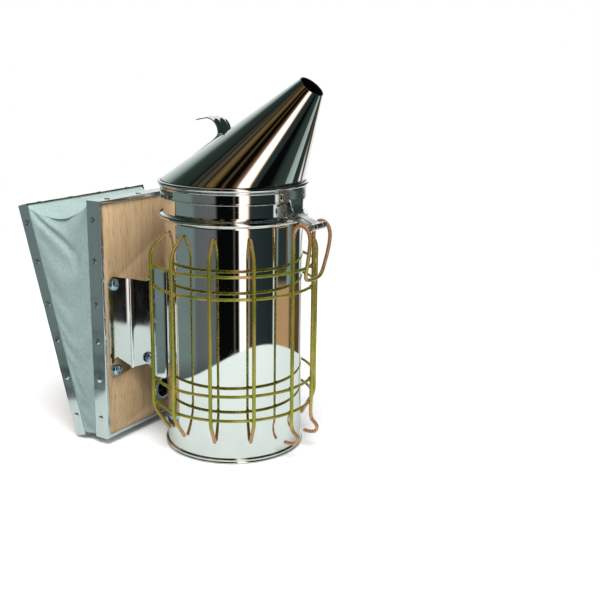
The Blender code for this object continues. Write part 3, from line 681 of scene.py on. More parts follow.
def fillet_bead():
    """Outline of the rolled bead, with a small fillet where it leaves the wall."""
    core = BEAD_R - BEAD_RADIUS
    lift = BEAD_RADIUS + 0.5 * MM
    points = [(CHAMBER_R, BEAD_Z - lift - 0.3 * MM), (CHAMBER_R + 0.15 * MM, BEAD_Z - lift + 0.1 * MM)]
    points += [(CHAMBER_R + 0.6 * MM, BEAD_Z - BEAD_RADIUS)]
    points += arc((core, BEAD_Z), BEAD_RADIUS, -90, 90, 17)
    points += [(CHAMBER_R + 0.6 * MM, BEAD_Z + BEAD_RADIUS)]
    points += [(CHAMBER_R + 0.15 * MM, BEAD_Z + lift - 0.1 * MM), (CHAMBER_R, BEAD_Z + lift + 0.3 * MM)]
    return points


def paint_shade_inside(piece, inside):
    """Gives the faces that the test picks the nearly black inside finish, which is painted shade."""
    piece.data.materials.append(painted_shade_inside)
    for face in piece.data.polygons:
        if inside(face):
            face.material_index = 1


def facing_axis(face):
    outward = Vector((face.center.x, face.center.y, 0)).normalized()
    return face.normal.dot(outward) < -0.5


def build_barrel():
    inner = CHAMBER_R - WALL
    rim = WALL / 2
    near_bead = BEAD_RADIUS + 2.4 * MM
    profile = [(inner, CHAMBER_BOTTOM), (CHAMBER_R, CHAMBER_BOTTOM)]
    profile += [(CHAMBER_R, 9 * MM), (CHAMBER_R, 30 * MM)]
    profile += [(CHAMBER_R, BEAD_Z - near_bead)] + fillet_bead() + [(CHAMBER_R, BEAD_Z + near_bead)]
    profile += [(CHAMBER_R, CHAMBER_TOP - 1.6 * MM)]
    profile += arc((inner + rim, CHAMBER_TOP - rim), rim, 0, 180, 7)
    profile += [(inner, CHAMBER_TOP - 1.6 * MM), (inner, 30 * MM), (inner, 9 * MM)]
    barrel = add_object("barrel_shell", lathe(profile), steel)
    hole = solid_of_rings([(INLET_HOLE_R, -5 * MM), (INLET_HOLE_R, 5 * MM)], 40)
    cut(barrel, lay_along_x(hole, (-CHAMBER_R, 0, INLET_Z)))
    paint_shade_inside(barrel, facing_axis)
    settle(barrel, "polished_stainless", "chamber", "chamber_barrel")


def build_pan():
    """Base pan whose rim is folded over the foot of the barrel."""
    wall = CHAMBER_R + 0.3 * MM
    roll = 0.75 * MM
    profile = [(2 * MM, 0.6 * MM), (40 * MM, 0.6 * MM), (42 * MM, 0.0)]
    profile += [(PAN_R - 1.2 * MM, 0.0), (PAN_R - 0.35 * MM, 0.25 * MM), (PAN_R, 0.9 * MM)]
    profile += [(PAN_R - 0.1 * MM, 1.5 * MM), (PAN_R - 0.45 * MM, 1.9 * MM), (PAN_R - 0.45 * MM, 2.2 * MM)]
    profile += arc((PAN_R - roll, PAN_HEIGHT - roll), roll, -40, 150, 11)
    profile += [(wall, PAN_HEIGHT - 1.2 * MM), (wall, 1.0 * MM), (40 * MM, 1.0 * MM), (2 * MM, 1.0 * MM)]
    pan = add_object("base_pan", solid_of_rings(profile, TURN_STEPS), steel)
    settle(pan, "polished_stainless", "chamber", "chamber_base")


def grate_holes():
    spots = [(0.0, 0.0)]
    for turn in range(3):
        for radius, degrees in ((18, 90), (36, 60), (36, 90), (36, 120)):
            angle = math.radians(degrees) + THIRD_TURN * turn
            spots.append((radius * MM * math.cos(angle), radius * MM * math.sin(angle)))
    return spots


def build_grate():
    """Punched disc with three tongues bent down as legs."""
    low = GRATE_TOP - GRATE_THICK
    bevel = 0.2 * MM
    profile = [(GRATE_R - bevel, low), (GRATE_R, low + bevel), (GRATE_R, GRATE_TOP - bevel),
               (GRATE_R - bevel, GRATE_TOP)]
    disc = add_object("grate_plate", solid_of_rings(profile, 120), steel)
    punches = bmesh.new()
    for x, y in grate_holes():
        punch = solid_of_rings([(GRATE_HOLE_R, low - MM), (GRATE_HOLE_R, GRATE_TOP + MM)], 36)
        punch.transform(Matrix.Translation((x, y, 0)))
        join_into(punches, punch)
    for turn in range(3):
        window = bmesh.new()
        ends = arc((15.6 * MM, 0), TONGUE_HALF_WIDTH, 90, 270, 13)
        outline = ends + [(40 * MM, -TONGUE_HALF_WIDTH), (40 * MM, TONGUE_HALF_WIDTH)]
        bottom = [window.verts.new((x, y, low - MM)) for x, y in outline]
        top = [window.verts.new((x, y, GRATE_TOP + MM)) for x, y in outline]
        ring_faces(window, bottom, top)
        window.faces.new(bottom)
        window.faces.new(reversed(top))
        window.transform(Matrix.Rotation(TONGUE_AZIMUTH + THIRD_TURN * turn, 4, "Z"))
        join_into(punches, window)
    cut(disc, punches)
    settle(disc, "polished_stainless", "grate", "fire_grate")
    legs = bmesh.new()
    for turn in range(3):
        mid = GRATE_TOP - GRATE_THICK / 2
        path = [(41.6 * MM, mid)] + arc((41.0 * MM, mid - 1.2 * MM), 1.2 * MM, 60, 180, 6)
        path += [(LEG_R, z * MM) for z in (22, 15, 8)]
        path += [(LEG_R, GRATE_FOOT + 0.2 * MM)]
        leg = strip(bmesh.new(), path, [LEG_HALF_WIDTH] * len(path), LEG_THICK)
        leg.transform(Matrix.Rotation(TONGUE_AZIMUTH + THIRD_TURN * turn, 4, "Z"))
        join_into(legs, leg)
    legs = add_object("grate_legs", legs, bent_steel)
    settle(legs, "polished_stainless", "grate")


# ---------------------------------------------------------------- wire guard and hook


def ring_heights():
    heights = []
    for number in range(1, 5):
        low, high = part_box(f"guard_ring_{number}")
        heights.append((low.z + high.z) / 2)
    return heights


def build_rings():
    steps = 110
    for number, height in enumerate(ring_heights(), 1):
        path = []
        for i in range(steps + 1):
            angle = -RING_HALF_ARC + 2 * RING_HALF_ARC * i / steps
            sway = 0.12 * MM * noise.noise(Vector((angle * 2, number, 0)))
            radius = GUARD_R + sway
            path.append(Vector((radius * math.cos(angle), radius * math.sin(angle), height + sway)))
        ring = add_object(f"ring_wire_{number}", tube(bmesh.new(), path, RING_WIRE), zinc_wire)
        settle(ring, "yellow_zinc_wire", "chamber", f"guard_ring_{number}")


def upright_angles():
    for half_step in (1.5, 2.5, 3.5, 4.5):
        for side in (-1, 1):
            yield side * half_step * UPRIGHT_SPACING, -side * math.radians(6) * (half_step == 4.5)


def build_uprights():
    tip = CHAMBER_R + UPRIGHT_WIRE + 0.45 * MM
    side_view = [
        (tip, 17.0), (tip + 4.0 * MM, 23.5), (UPRIGHT_R - 1.4 * MM, 31.0),
        (UPRIGHT_R, 36.0), (UPRIGHT_R, 48.0),
        (UPRIGHT_R, 94.0), (UPRIGHT_R, 140.0), (UPRIGHT_R, 147.0), (UPRIGHT_R - 0.5 * MM, 150.5),
        (UPRIGHT_R - 2.2 * MM, 154.7), (tip + 3.4 * MM, 160.0), (tip, 164.6),
    ]
    for number, (angle, lean) in enumerate(upright_angles(), 1):
        points = []
        for radius, height in side_view:
            turn = angle + lean * (UPRIGHT_R - radius) / (UPRIGHT_R - tip)
            points.append((radius * math.cos(turn), radius * math.sin(turn), height * MM))
        wire = tube(bmesh.new(), smooth_path(points), UPRIGHT_WIRE)
        upright = add_object(f"upright_wire_{number}", wire, zinc_wire)
        settle(upright, "yellow_zinc_wire", "chamber", f"guard_upright_{number}")


def build_hook():
    """One bent wire: S-shaped foot, upright, arch, hook bend at the front, and the same back up."""
    y = HOOK_Y / MM
    x = HOOK_X / MM
    near_half = [
        (54.6, -y, 12.9), (60.4, -y, 13.0), (63.9, -y, 14.3), (65.4, -y, 17.2), (64.1, -y, 20.2),
        (61.0, -y, 23.0), (x, -y, 27.0), (x, -y, 40.0), (x, -y, 100.0), (x, -y, 155.0),
        (x, -y, 165.0), (x + 0.8, -y, 169.8), (x + 2.8, -y, 172.9), (x + 5.7, -y, 174.2),
        (x + 8.9, -y, 173.4), (x + 11.7, -y, 170.6), (73.0, -y, 166.0), (72.9, -y, 161.0),
        (71.6, -13.3, 152.0), (69.9, -12.5, 144.0),
        (68.7, -11.6, 138.6), (68.2, -9.7, 136.0), (68.0, -6.2, 134.8), (68.0, 0.0, 134.5),
    ]
    far_half = [(x, -across, z) for x, across, z in reversed(near_half[:-1])]
    path = smooth_path([Vector(p) * MM for p in near_half + far_half], 5)
    hook = add_object("hook_wire", tube(bmesh.new(), path, UPRIGHT_WIRE), zinc_wire)
    settle(hook, "yellow_zinc_wire", "chamber", "hanging_hook")


def build_guard_welds():
    """Small uneven weld beads where uprights cross the rings."""
    dice = random.Random(7)
    welds = bmesh.new()
    crossings = []
    for height in ring_heights():
        for angle, _ in upright_angles():
            crossings.append((angle, GUARD_R + 1.25 * MM, height))
        for side in (-1, 1):
            angle = side * math.atan2(HOOK_Y, HOOK_X)
            crossings.append((angle, math.hypot(HOOK_X, HOOK_Y) - 1.6 * MM, height))
    for angle, radius, height in crossings:
        place = Matrix.Translation((radius * math.cos(angle), radius * math.sin(angle), height))
        size = Matrix.Diagonal((1.25 * MM, dice.uniform(1.7, 2.1) * MM, dice.uniform(1.6, 2.0) * MM, 1.0))
        turned = place @ Matrix.Rotation(angle, 4, "Z") @ size
        made = bmesh.ops.create_icosphere(welds, subdivisions=3, radius=1.0)
        for vertex in made["verts"]:
            vertex.co *= 1 + 0.12 * noise.noise(vertex.co * 2.5 + Vector((angle * 9, height * 900, 0)))
            vertex.co = turned @ vertex.co
    welds = add_object("guard_welds", welds, zinc_wire, 80)
    settle(welds, "yellow_zinc_wire", "chamber")


# ---------------------------------------------------------------- lid and its hinge


def build_cone():
    """Oblique cone sheet from the round base to the small tilted mouth."""
    across = Vector((math.cos(TIP_TILT), 0, -math.sin(TIP_TILT)))
    steps = 144
    rows = 24
    bm = bmesh.new()

    def point(angle, share, inset):
        base = CONE_BASE_R - inset
        low = Vector((base * math.cos(angle), base * math.sin(angle), CONE_BASE_Z))
        rim = across * math.cos(angle) + Vector((0, math.sin(angle), 0))
        return low.lerp(TIP_CENTRE + rim * (TIP_R - inset), share)

    section = [(i / rows, 0.0) for i in range(rows + 1)]
    section += [(1.0, CONE_WALL * k / 4) for k in (1, 2, 3)]
    section += [(1 - i / rows, CONE_WALL) for i in range(rows + 1)]
    rings = []
    for i in range(steps):
        angle = 2 * math.pi * i / steps
        rings.append([bm.verts.new(point(angle, share, inset)) for share, inset in section])
    for i in range(steps):
        ring_faces(bm, rings[i], rings[(i + 1) % steps])
    cone = add_object("spout_shell", bm, steel)
    lean = TIP_CENTRE.x / (TIP_CENTRE.z - CONE_BASE_Z)

    def inside(face):
        core = Vector((lean * (face.center.z - CONE_BASE_Z), 0, face.center.z))
        return face.normal.dot(core - face.center) > 0

    paint_shade_inside(cone, inside)
    settle(cone, "polished_stainless", "lid", "spout_cone")


def build_lid_band():
    """Band that slips over the chamber: hemmed foot, small ridge and the rolled rim above it."""
    inner = SKIRT_R - WALL
    hem = 0.45 * MM
    profile = [(inner, SKIRT_BOTTOM + hem)] + arc((SKIRT_R - hem, SKIRT_BOTTOM + hem), hem, 200, 360, 9)
    face = SKIRT_R - 0.12 * MM
    profile += [(face, SKIRT_BOTTOM + 1.3 * MM), (face, SKIRT_BOTTOM + 1.7 * MM)]
    profile += [(face, 194.8 * MM), (face, 195.2 * MM)]
    profile += arc((SKIRT_R - 0.15 * MM, 195.8 * MM), 0.5 * MM, -80, 80, 9)
    profile += [(SKIRT_R - 0.1 * MM, 196.55 * MM), (SKIRT_R - 0.05 * MM, 196.9 * MM)]
    profile += arc((ROLL_R, ROLL_Z), ROLL_RADIUS, -85, 128, 25)
    profile += [(ROLL_R - 1.3 * MM, ROLL_Z + 0.9 * MM), (inner, ROLL_Z)]
    band = add_object("lid_band", lathe(profile), steel)
    paint_shade_inside(band, facing_axis)
    settle(band, "polished_stainless", "lid", "lid_skirt")
    seam = bmesh.new()
    path = []
    for height in (188.4, 189.6, 191.0, 193.0, 195.0, 196.4, 197.4):
        sway = 0.25 * MM * noise.noise(Vector((height, 3.1, 0)))
        radius = SKIRT_R + 0.05 * MM
        across = radius * math.sin(SEAM_AZIMUTH) + sway
        path.append(Vector((radius * math.cos(SEAM_AZIMUTH), across, height * MM)))
    tube(seam, smooth_path(path, 5), SEAM_R, 10)
    settle(add_object("band_solder_seam", seam, solder), "polished_stainless", "lid")


def cone_back_height(x):
    """Height of the cone's -X generator above a given x."""
    mouth_x = TIP_CENTRE.x - TIP_R * math.cos(TIP_TILT)
    mouth_z = TIP_CENTRE.z + TIP_R * math.sin(TIP_TILT)
    share = (x + CONE_BASE_R) / (mouth_x + CONE_BASE_R)
    return CONE_BASE_Z + share * (mouth_z - CONE_BASE_Z)


def build_lever():
    """Thumb lever: foot on the cone's back, stem with two pressed ribs, curled back to a pointed tip."""
    rough_path = []
    for x in (-41.0, -38.5, -33.0, -25.0, -18.0, -12.5):
        rough_path.append((x * MM, cone_back_height(x * MM) + LEVER_LIFT))
    rough_path[0] = (rough_path[0][0], rough_path[0][1] + 1.0 * MM)
    rough_path += arc((-17.6 * MM, 233.2 * MM), 9.8 * MM, -8, 92, 9)
    rough_path += [(-25.0 * MM, 242.0 * MM), (-32.5 * MM, 240.7 * MM)]
    path = [(p.x, p.y) for p in smooth_path([Vector((x, z, 0)) for x, z in rough_path], 6)]
    last = len(path) - 1
    widths = []
    for i in range(last + 1):
        share = i / last
        width = LEVER_HALF_WIDTH * min(1.0, 0.62 + 5.0 * share)
        if share > 0.82:
            width *= max(1 - ((share - 0.82) / 0.18) ** 1.7, 0.09)
        widths.append(width)

    def ribs(across, along):
        fade = min(1.0, max(0.0, (along - 0.06) * 9)) * min(1.0, max(0.0, (0.97 - along) * 7))
        return -RIB_DEPTH * fade * sum(math.exp(-((across - c) / 0.17) ** 2) for c in (-0.42, 0.42))

    lever = strip(bmesh.new(), path, widths, LEVER_THICK, ribs, 36)
    lever = add_object("lever_strip", lever, bent_steel, 50)
    settle(lever, "polished_stainless", "lid", "thumb_lever")


def build_spot_welds():
    """Shallow electrode marks where the hinge plates are spot-welded."""
    strap_spots = ((-11.5, 192.2), (11.5, 192.2))
    bracket_spots = ((-14.5, 183.4), (14.5, 183.4), (0.0, 184.6))
    for name, body, radius, spots in (
        ("strap_spot_welds", "lid", SKIRT_R + 1.02 * MM, strap_spots),
        ("bracket_spot_welds", "chamber", CHAMBER_R + 1.02 * MM, bracket_spots),
    ):
        marks = bmesh.new()
        for degrees, height in spots:
            mark = solid_of_rings([(SPOT_WELD_R, -0.15 * MM), (1.45 * MM, 0.05 * MM), (1.0 * MM, 0.1 * MM),
                                   (0.7 * MM, 0.03 * MM), (0.2 * MM, 0.01 * MM)], 24)
            lay_along_x(mark, (radius, 0, height * MM))
            mark.transform(Matrix.Rotation(math.radians(degrees), 4, "Z"))
            join_into(marks, mark)
        settle(add_object(name, marks, bent_steel), "polished_stainless", body)


def knuckle(bm, low, high):
    """Rolled loop round the hinge pin between two y positions."""
    profile = [(KNUCKLE_BORE, low), (KNUCKLE_OUTER - 0.15 * MM, low), (KNUCKLE_OUTER, low + 0.15 * MM)]
    profile += [(KNUCKLE_OUTER, high - 0.15 * MM), (KNUCKLE_OUTER - 0.15 * MM, high), (KNUCKLE_BORE, high)]
    ring = lathe(profile, 40)
    ring.transform(Matrix.Translation((lid_axis.x, 0, lid_axis.z)) @ Matrix.Rotation(-math.pi / 2, 4, "X"))
    join_into(bm, ring)


def build_hinge_strap():
    radius = SKIRT_R + 0.3 * MM
    mid = radius + HINGE_SHEET / 2
    bm = round_plate(bmesh.new(), radius, HINGE_SHEET, 0.0, math.radians(17), STRAP_LOW, STRAP_HIGH, 3.4 * MM)
    points = [(mid, 190.5), (mid + 0.1 * MM, 187.6), (mid + 0.5 * MM, 184.0), (55.4 * MM, 180.8),
              (58.9 * MM, 178.5), (63.6 * MM, 176.5), (68.9 * MM, 174.0)]
    path = smooth_path([Vector((x, z * MM, 0)) for x, z in points], 6)
    path = [(p.x, p.y) for p in path]
    last = len(path) - 1
    widths = [LID_KNUCKLE_HALF + 5.1 * MM * max(0.0, 1 - i / (0.75 * last)) for i in range(last + 1)]
    strip(bm, path, widths, HINGE_SHEET)
    knuckle(bm, -LID_KNUCKLE_HALF, LID_KNUCKLE_HALF)
    settle(add_object("strap_sheet", bm, satin_steel), "polished_stainless", "lid", "lid_hinge_strap")


def build_hinge_bracket():
    radius = CHAMBER_R + 0.3 * MM
    mid = radius + HINGE_SHEET / 2
    bm = round_plate(bmesh.new(), radius, HINGE_SHEET, 0.0, math.radians(20), BRACKET_PLATE_LOW,
                     BRACKET_PLATE_HIGH, 4.6 * MM)
    points = [(mid, 181.0), (mid + 0.1 * MM, 178.8), (53.4 * MM, 177.7), (58.0 * MM, 176.4),
              (66.9 * MM, 173.9)]
    path = smooth_path([Vector((x, z * MM, 0)) for x, z in points], 5)
    path = [(p.x, p.y) for p in path]
    last = len(path) - 1
    widths = [12.8 * MM - (12.8 * MM - EAR_OUTER_Y) * (i / last) ** 1.4 for i in range(last + 1)]

    def pressed_ridge(across, along):
        return -0.9 * MM * math.sin(math.pi * min(1.0, along * 1.1)) * math.exp(-(across / 0.35) ** 2)

    strip(bm, path, widths, HINGE_SHEET, pressed_ridge, 24)
    middle = (EAR_INNER_Y + EAR_OUTER_Y) / 2
    half = (EAR_OUTER_Y - EAR_INNER_Y) / 2
    finger_path = [(66.0 * MM, 174.1 * MM), (67.6 * MM, 173.7 * MM), (68.9 * MM, 173.3 * MM)]
    for side in (-1, 1):
        finger = strip(bmesh.new(), finger_path, [half] * 3, HINGE_SHEET)
        finger.transform(Matrix.Translation((0, side * middle, 0)))
        join_into(bm, finger)
        ends = sorted((side * EAR_INNER_Y, side * EAR_OUTER_Y))
        knuckle(bm, *ends)
    settle(add_object("hinge_plate", bm, satin_steel), "polished_stainless", "chamber", "hinge_bracket")


# ---------------------------------------------------------------- bellows


def edging_section(lip, inward, depth):
    """(inset, x) outline of the folded strip, with a rounded fold between lip and band."""
    fold = 0.8 * MM
    points = [(EDGING_LIP, lip)]
    for i in range(7):
        angle = math.pi / 2 * i / 6
        points.append((fold * (1 - math.sin(angle)), lip + inward * fold * (1 - math.cos(angle))))
    points += [(0.0, lip + inward * depth * share) for share in (0.25, 0.45, 0.65, 0.85)]
    end = lip + inward * depth
    points += [(0.0, end), (SHEET, end), (SHEET, lip + inward * depth * 0.5)]
    return points + [(SHEET, lip + inward * (fold + 0.1 * MM)), (SHEET + 0.3 * MM, lip + inward * SHEET),
                     (EDGING_LIP, lip + inward * SHEET)]


def tack_places(bottom, dice):
    places = []
    for i in range(TACKS_LONG_SIDE):
        z = bottom + BOARD_LENGTH * (i + 0.5) / TACKS_LONG_SIDE
        for side in (-1, 1):
            places.append(((side, 0), side * BOARD_HALF_WIDTH, z + dice.uniform(-1, 1) * 1.5 * MM))
    for i in range(TACKS_SHORT_SIDE):
        y = BOARD_HALF_WIDTH * (2 * (i + 0.5) / TACKS_SHORT_SIDE - 1)
        for side, z in ((-1, bottom), (1, bottom + BOARD_LENGTH)):
            places.append(((0, side), y + dice.uniform(-1, 1) * 1.5 * MM, z))
    return places


def edge_point(start, start_in, end, end_in, inset, share):
    """(y, z) at a share of the way along one side of the board, set in from its edge."""
    first = [at + inset * step for at, step in zip(start, start_in)]
    last = [at + inset * step for at, step in zip(end, end_in)]
    return [a + share * (b - a) for a, b in zip(first, last)]


def build_edging(board, face_x, inward, depth, bottom, placement, body):
    """Folded strip round one board, dented by its tacks, and the tack heads."""
    dice = random.Random(len(board))
    top = bottom + BOARD_LENGTH
    lip = face_x - inward * (GAP + SHEET)
    section = edging_section(lip, inward, depth)
    tacks = tack_places(bottom, dice)
    middle = lip + inward * depth * 0.55
    half = BOARD_HALF_WIDTH
    corners = [(-half, bottom), (half, bottom), (half, top), (-half, top)]
    inner_way = [(1, 1), (-1, 1), (-1, -1), (1, -1)]
    press_way = [(0, 1), (-1, 0), (0, -1), (1, 0)]
    steps = 72
    bm = bmesh.new()
    rings = []
    for side in range(4):
        after = (side + 1) % 4
        way = press_way[side]
        for i in range(steps):
            share = i / steps
            ring = []
            for inset, x in section:
                y, z = edge_point(corners[side], inner_way[side], corners[after], inner_way[after],
                                  inset, share)
                press = 0.0
                if inset < 0.6 * MM and 0 < i:
                    near = min(math.hypot(y - ty, math.hypot(z - tz, x - middle)) for _, ty, tz in tacks)
                    press = TACK_DENT * math.exp(-(near / TACK_DENT_R) ** 2)
                    press += 0.12 * MM * (1 + noise.noise(Vector((x, y, z)) * 130))
                press = min(press, 0.28 * MM) * min(1.0, 8 * share, 8 * (1 - share))
                ring.append(bm.verts.new((x, y + way[0] * press, z + way[1] * press)))
            rings.append(ring)
    for first, second in zip(rings, rings[1:] + rings[:1]):
        ring_faces(bm, first, second)
    bm.transform(placement)
    strip_piece = add_object(f"{board}_edging_strip", bm, tin, 30)
    settle(strip_piece, "tin_edging", body, f"{board}_edging")
    heads = bmesh.new()
    outline = [(0.9, -1.2), (0.9, -0.3), (1.9, -0.25), (2.1, 0.0), (2.0, 0.25), (1.5, 0.5),
               (0.9, 0.62), (0.3, 0.58)]
    for (out_y, out_z), y, z in tacks:
        head = solid_of_rings([(r * MM, up * MM) for r, up in outline], 24)
        tilt = Matrix.Rotation(dice.uniform(-0.12, 0.12), 4, "X")
        tilt = tilt @ Matrix.Rotation(dice.uniform(-0.12, 0.12), 4, "Y")
        aim = Vector((0, out_y, out_z)).to_track_quat("Z", "X").to_matrix().to_4x4()
        head.transform(Matrix.Translation((middle, y, z)) @ aim @ tilt)
        join_into(heads, head)
    heads.transform(placement)
    settle(add_object(f"{board}_tack_heads", heads, tin), "tin_edging", body)


def skirt_point(loop, y, height):
    """A point of the sleeve's edge on the inner (0) or outer (1) board; height runs 0 to 1 up the board."""
    rise = (BOARD_LENGTH - 2 * SLEEVE_INSET) * height + SLEEVE_INSET
    if loop == 0:
        return Vector((BOARD_FACE_X - BOARD_THICK - 0.3 * MM, y, BOARD_BOTTOM + rise))
    inner_face = OUTER_FACE - GAP - SHEET + OUTER_DEPTH - OVERHANG
    return outer_frame() @ Vector((inner_face + 0.3 * MM, y, OUTER_BOTTOM + rise))


def skirt_fold(side, along, across, height):
    """How far the sleeve is drawn in at a place: across runs 0 to 1 from inner to outer board."""
    arch = math.sin(math.pi * across)
    if side == "top":
        edge = min(along, 1 - along)
        sag = ROOF_SAG - 1.5 * MM * (1 + math.cos(2 * math.pi * (along - 0.5)))
        return sag * arch ** 0.75 + 0.8 * MM * edge
    if side == "bottom":
        return 1.0 * MM * arch
    down = (1 - height) / CREASE_REACH
    wide = 66.0 * MM * (0.22 + 0.78 * height)
    soft = 1.6 * MM * arch * (0.5 + 0.5 * math.sin(3.5 * height + 1.0))
    if down < 1.25:
        left = CREASE_MEETING * min(down, 1.0)
        right = 1 - (1 - CREASE_MEETING) * min(down, 1.0)
        from_left = (across - left) * wide
        from_right = (across - right) * wide
        valley = math.exp(-(from_left / CREASE_WIDTH) ** 2) + math.exp(-(from_right / CREASE_WIDTH) ** 2)
        fade = max(0.0, 1.25 - down) / 1.25
        inside = max(0.0, min((across - left), (right - across)) * 2)
        soft += CREASE_DEPTH * min(valley, 1.2) * fade ** 0.5 * arch ** 0.5
        soft += 7.0 * MM * inside * fade ** 1.2
    return soft


def build_skirt():
    """Sleeve of coated cloth between the boards, folded in at the top, then relaxed as cloth."""
    half = BOARD_HALF_WIDTH - SLEEVE_INSET
    long_steps = 64
    short_steps = 44
    rows = 26
    stations = []
    for i in range(short_steps):
        stations.append(("bottom", i / short_steps, -half + 2 * half * i / short_steps, 0.0))
    for i in range(long_steps):
        stations.append(("far", i / long_steps, half, i / long_steps))
    for i in range(short_steps):
        stations.append(("top", i / short_steps, half - 2 * half * i / short_steps, 1.0))
    for i in range(long_steps):
        stations.append(("near", i / long_steps, -half, 1 - i / long_steps))
    inward = {"bottom": Vector((0, 0, 1)), "top": Vector((0, 0, -1)), "far": Vector((0, -1, 0)),
              "near": Vector((0, 1, 0))}
    bm = bmesh.new()
    layer = bm.verts.layers.float.new("across")
    loops = []
    for k in range(rows + 1):
        across = k / rows
        loop = []
        for side, along, y, height in stations:
            base = skirt_point(0, y, height).lerp(skirt_point(1, y, height), across)
            arch = math.sin(math.pi * across)
            pull = inward[side] * skirt_fold(side, along, across, height)
            if side in ("near", "far"):
                pull += Vector((0, 0, -ROOF_SAG * arch ** 0.75)) * max(0.0, 1 - (1 - height) * 5.0) ** 2
            vertex = bm.verts.new(base + pull)
            vertex[layer] = across
            loop.append(vertex)
        loops.append(loop)
    for first, second in zip(loops, loops[1:]):
        ring_faces(bm, first, second)
    skirt = add_object("bellows_cloth", bm, cloth_finish, 180)
    relax(skirt)
    sheet = skirt.modifiers.new("Sheet", "SOLIDIFY")
    sheet.thickness = CLOTH_THICK
    sheet.offset = -1.0
    fine = skirt.modifiers.new("Fine", "SUBSURF")
    fine.levels = 1
    fine.render_levels = 1
    bake(skirt)
    skirt.data.shade_smooth()
    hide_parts("bellows_skirt")
    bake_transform(skirt)


def relax(skirt):
    """Lets the sleeve settle as cloth between its two nailed edges, each point by CLOTH_LIMIT at most."""
    start = [vertex.co.copy() for vertex in skirt.data.vertices]
    pins = skirt.vertex_groups.new(name="nailed")
    shares = skirt.data.attributes["across"].data
    for index, share in enumerate(shares):
        if share.value < 0.05 or share.value > 0.95:
            pins.add([index], 1.0, "REPLACE")
    modifier = skirt.modifiers.new("Cloth", "CLOTH")
    settings = modifier.settings
    settings.quality = 6
    settings.mass = 0.25
    settings.tension_stiffness = 25
    settings.compression_stiffness = 25
    settings.bending_stiffness = 3.0
    settings.shrink_min = -0.002
    settings.vertex_group_mass = "nailed"
    settings.effector_weights.gravity = 0.12
    modifier.point_cache.frame_start = 1
    modifier.point_cache.frame_end = CLOTH_FRAMES
    for number in range(1, CLOTH_FRAMES + 1):
        bpy.context.scene.frame_set(number)
    bake(skirt)
    bpy.context.scene.frame_set(1)
    for vertex, before in zip(skirt.data.vertices, start):
        step = vertex.co - before
        if step.length > CLOTH_LIMIT:
            vertex.co = before + step * (CLOTH_LIMIT / step.length)


def build_spring():
    """V-shaped leaf spring inside the sleeve, with rounded leaf ends."""
    inner_x = BOARD_FACE_X - BOARD_THICK - 1.0 * MM
    leaf_x = OUTER_FACE + OUTER_DEPTH - 2.5 * MM + 1.0 * MM
    tip = outer_frame() @ Vector((leaf_x, 0, 150 * MM))
    root = outer_frame() @ Vector((leaf_x + 1.5 * MM, 0, 48 * MM))
    points = [(inner_x, 150 * MM), (inner_x - 1.0 * MM, 100 * MM), (inner_x - 2.0 * MM, 48 * MM),
              (-88.8 * MM, 30 * MM), (-93.4 * MM, 26.6 * MM), (-97.0 * MM, 31 * MM), (root.x, root.z),
              ((root.x + tip.x) / 2, (root.z + tip.z) / 2), (tip.x, tip.z)]
    path = [(p.x, p.y) for p in smooth_path([Vector((x, z, 0)) for x, z in points], 8)]
    last = len(path) - 1
    widths = [9 * MM * min(1.0, 0.35 + (min(i, last - i) / 4) ** 0.5 * 0.4) for i in range(last + 1)]
    spring = add_object("leaf_spring", strip(bmesh.new(), path, widths, 0.9 * MM), spring_finish)
    settle(spring, "spring_steel", None, "bellows_spring")
    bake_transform(spring)


# ---------------------------------------------------------------- bracket and bolts


def bracket_stations():
    """Plan line of the folded bracket, from the flange's free end to the tab on the chamber."""
    bend = 2.4 * MM
    stations = []
    corner = 6.0 * MM
    outer = 61.0 * MM
    for i in range(13):
        from_end = corner * (1 - math.cos(math.pi / 2 * i / 12))
        inset = corner - math.sqrt(max(corner ** 2 - (corner - from_end) ** 2, 0.0))
        stations.append((FLANGE_X, outer - from_end - 0.02 * MM, 51.5 * MM + inset, 128.8 * MM - inset))
    for share in (0.25, 0.5, 0.75, 1.0):
        y = outer - corner + (WEB_Y + bend - outer + corner) * share
        stations.append((FLANGE_X, y, (51.5 + 2.6 * share ** 1.5) * MM, (128.8 - 4.6 * share) * MM))
    for x, y in arc((FLANGE_X + bend, WEB_Y + bend), bend, 180, 270, 9)[1:]:
        stations.append((x, y, 54.2 * MM, 124.1 * MM))
    lows = [(-66.0, 55.4), (-54.0, 60.0), (-52.4, 59.2), (-51.0, 57.5), (-49.0, 54.2), (-47.0, 51.8),
            (-45.6, 51.5), (-36.5, 51.5)]
    highs = [(-66.0, 124.0), (-52.4, 124.0), (-51.6, 124.6), (-51.0, 127.7), (-49.6, 130.3), (-47.5, 132.6),
             (-45.0, 134.6), (-42.0, 135.3), (-36.5, 134.3)]
    x = -66.0
    while x <= -36.6:
        stations.append((x * MM, WEB_Y, between(lows, x) * MM, between(highs, x) * MM))
        x += 0.35
    mid = CHAMBER_R + GAP + BRACKET_SHEET / 2
    for degrees in (45.1, 44.6, 43.8, 42, 40, 38, 36, 34, 32.4, 31.2, 30.8):
        angle = math.radians(degrees)
        inset = 3.0 * MM if degrees == 30.8 else 1.0 * MM if degrees == 31.2 else 0.0
        stations.append((-mid * math.cos(angle), mid * math.sin(angle), 54 * MM + inset, 132 * MM - inset))
    return stations


def between(points, x):
    """Value at x on a line through (x, value) points."""
    for (x0, v0), (x1, v1) in zip(points, points[1:]):
        if x <= x1:
            return v0 + (v1 - v0) * max(0.0, (x - x0) / (x1 - x0))
    return points[-1][1]


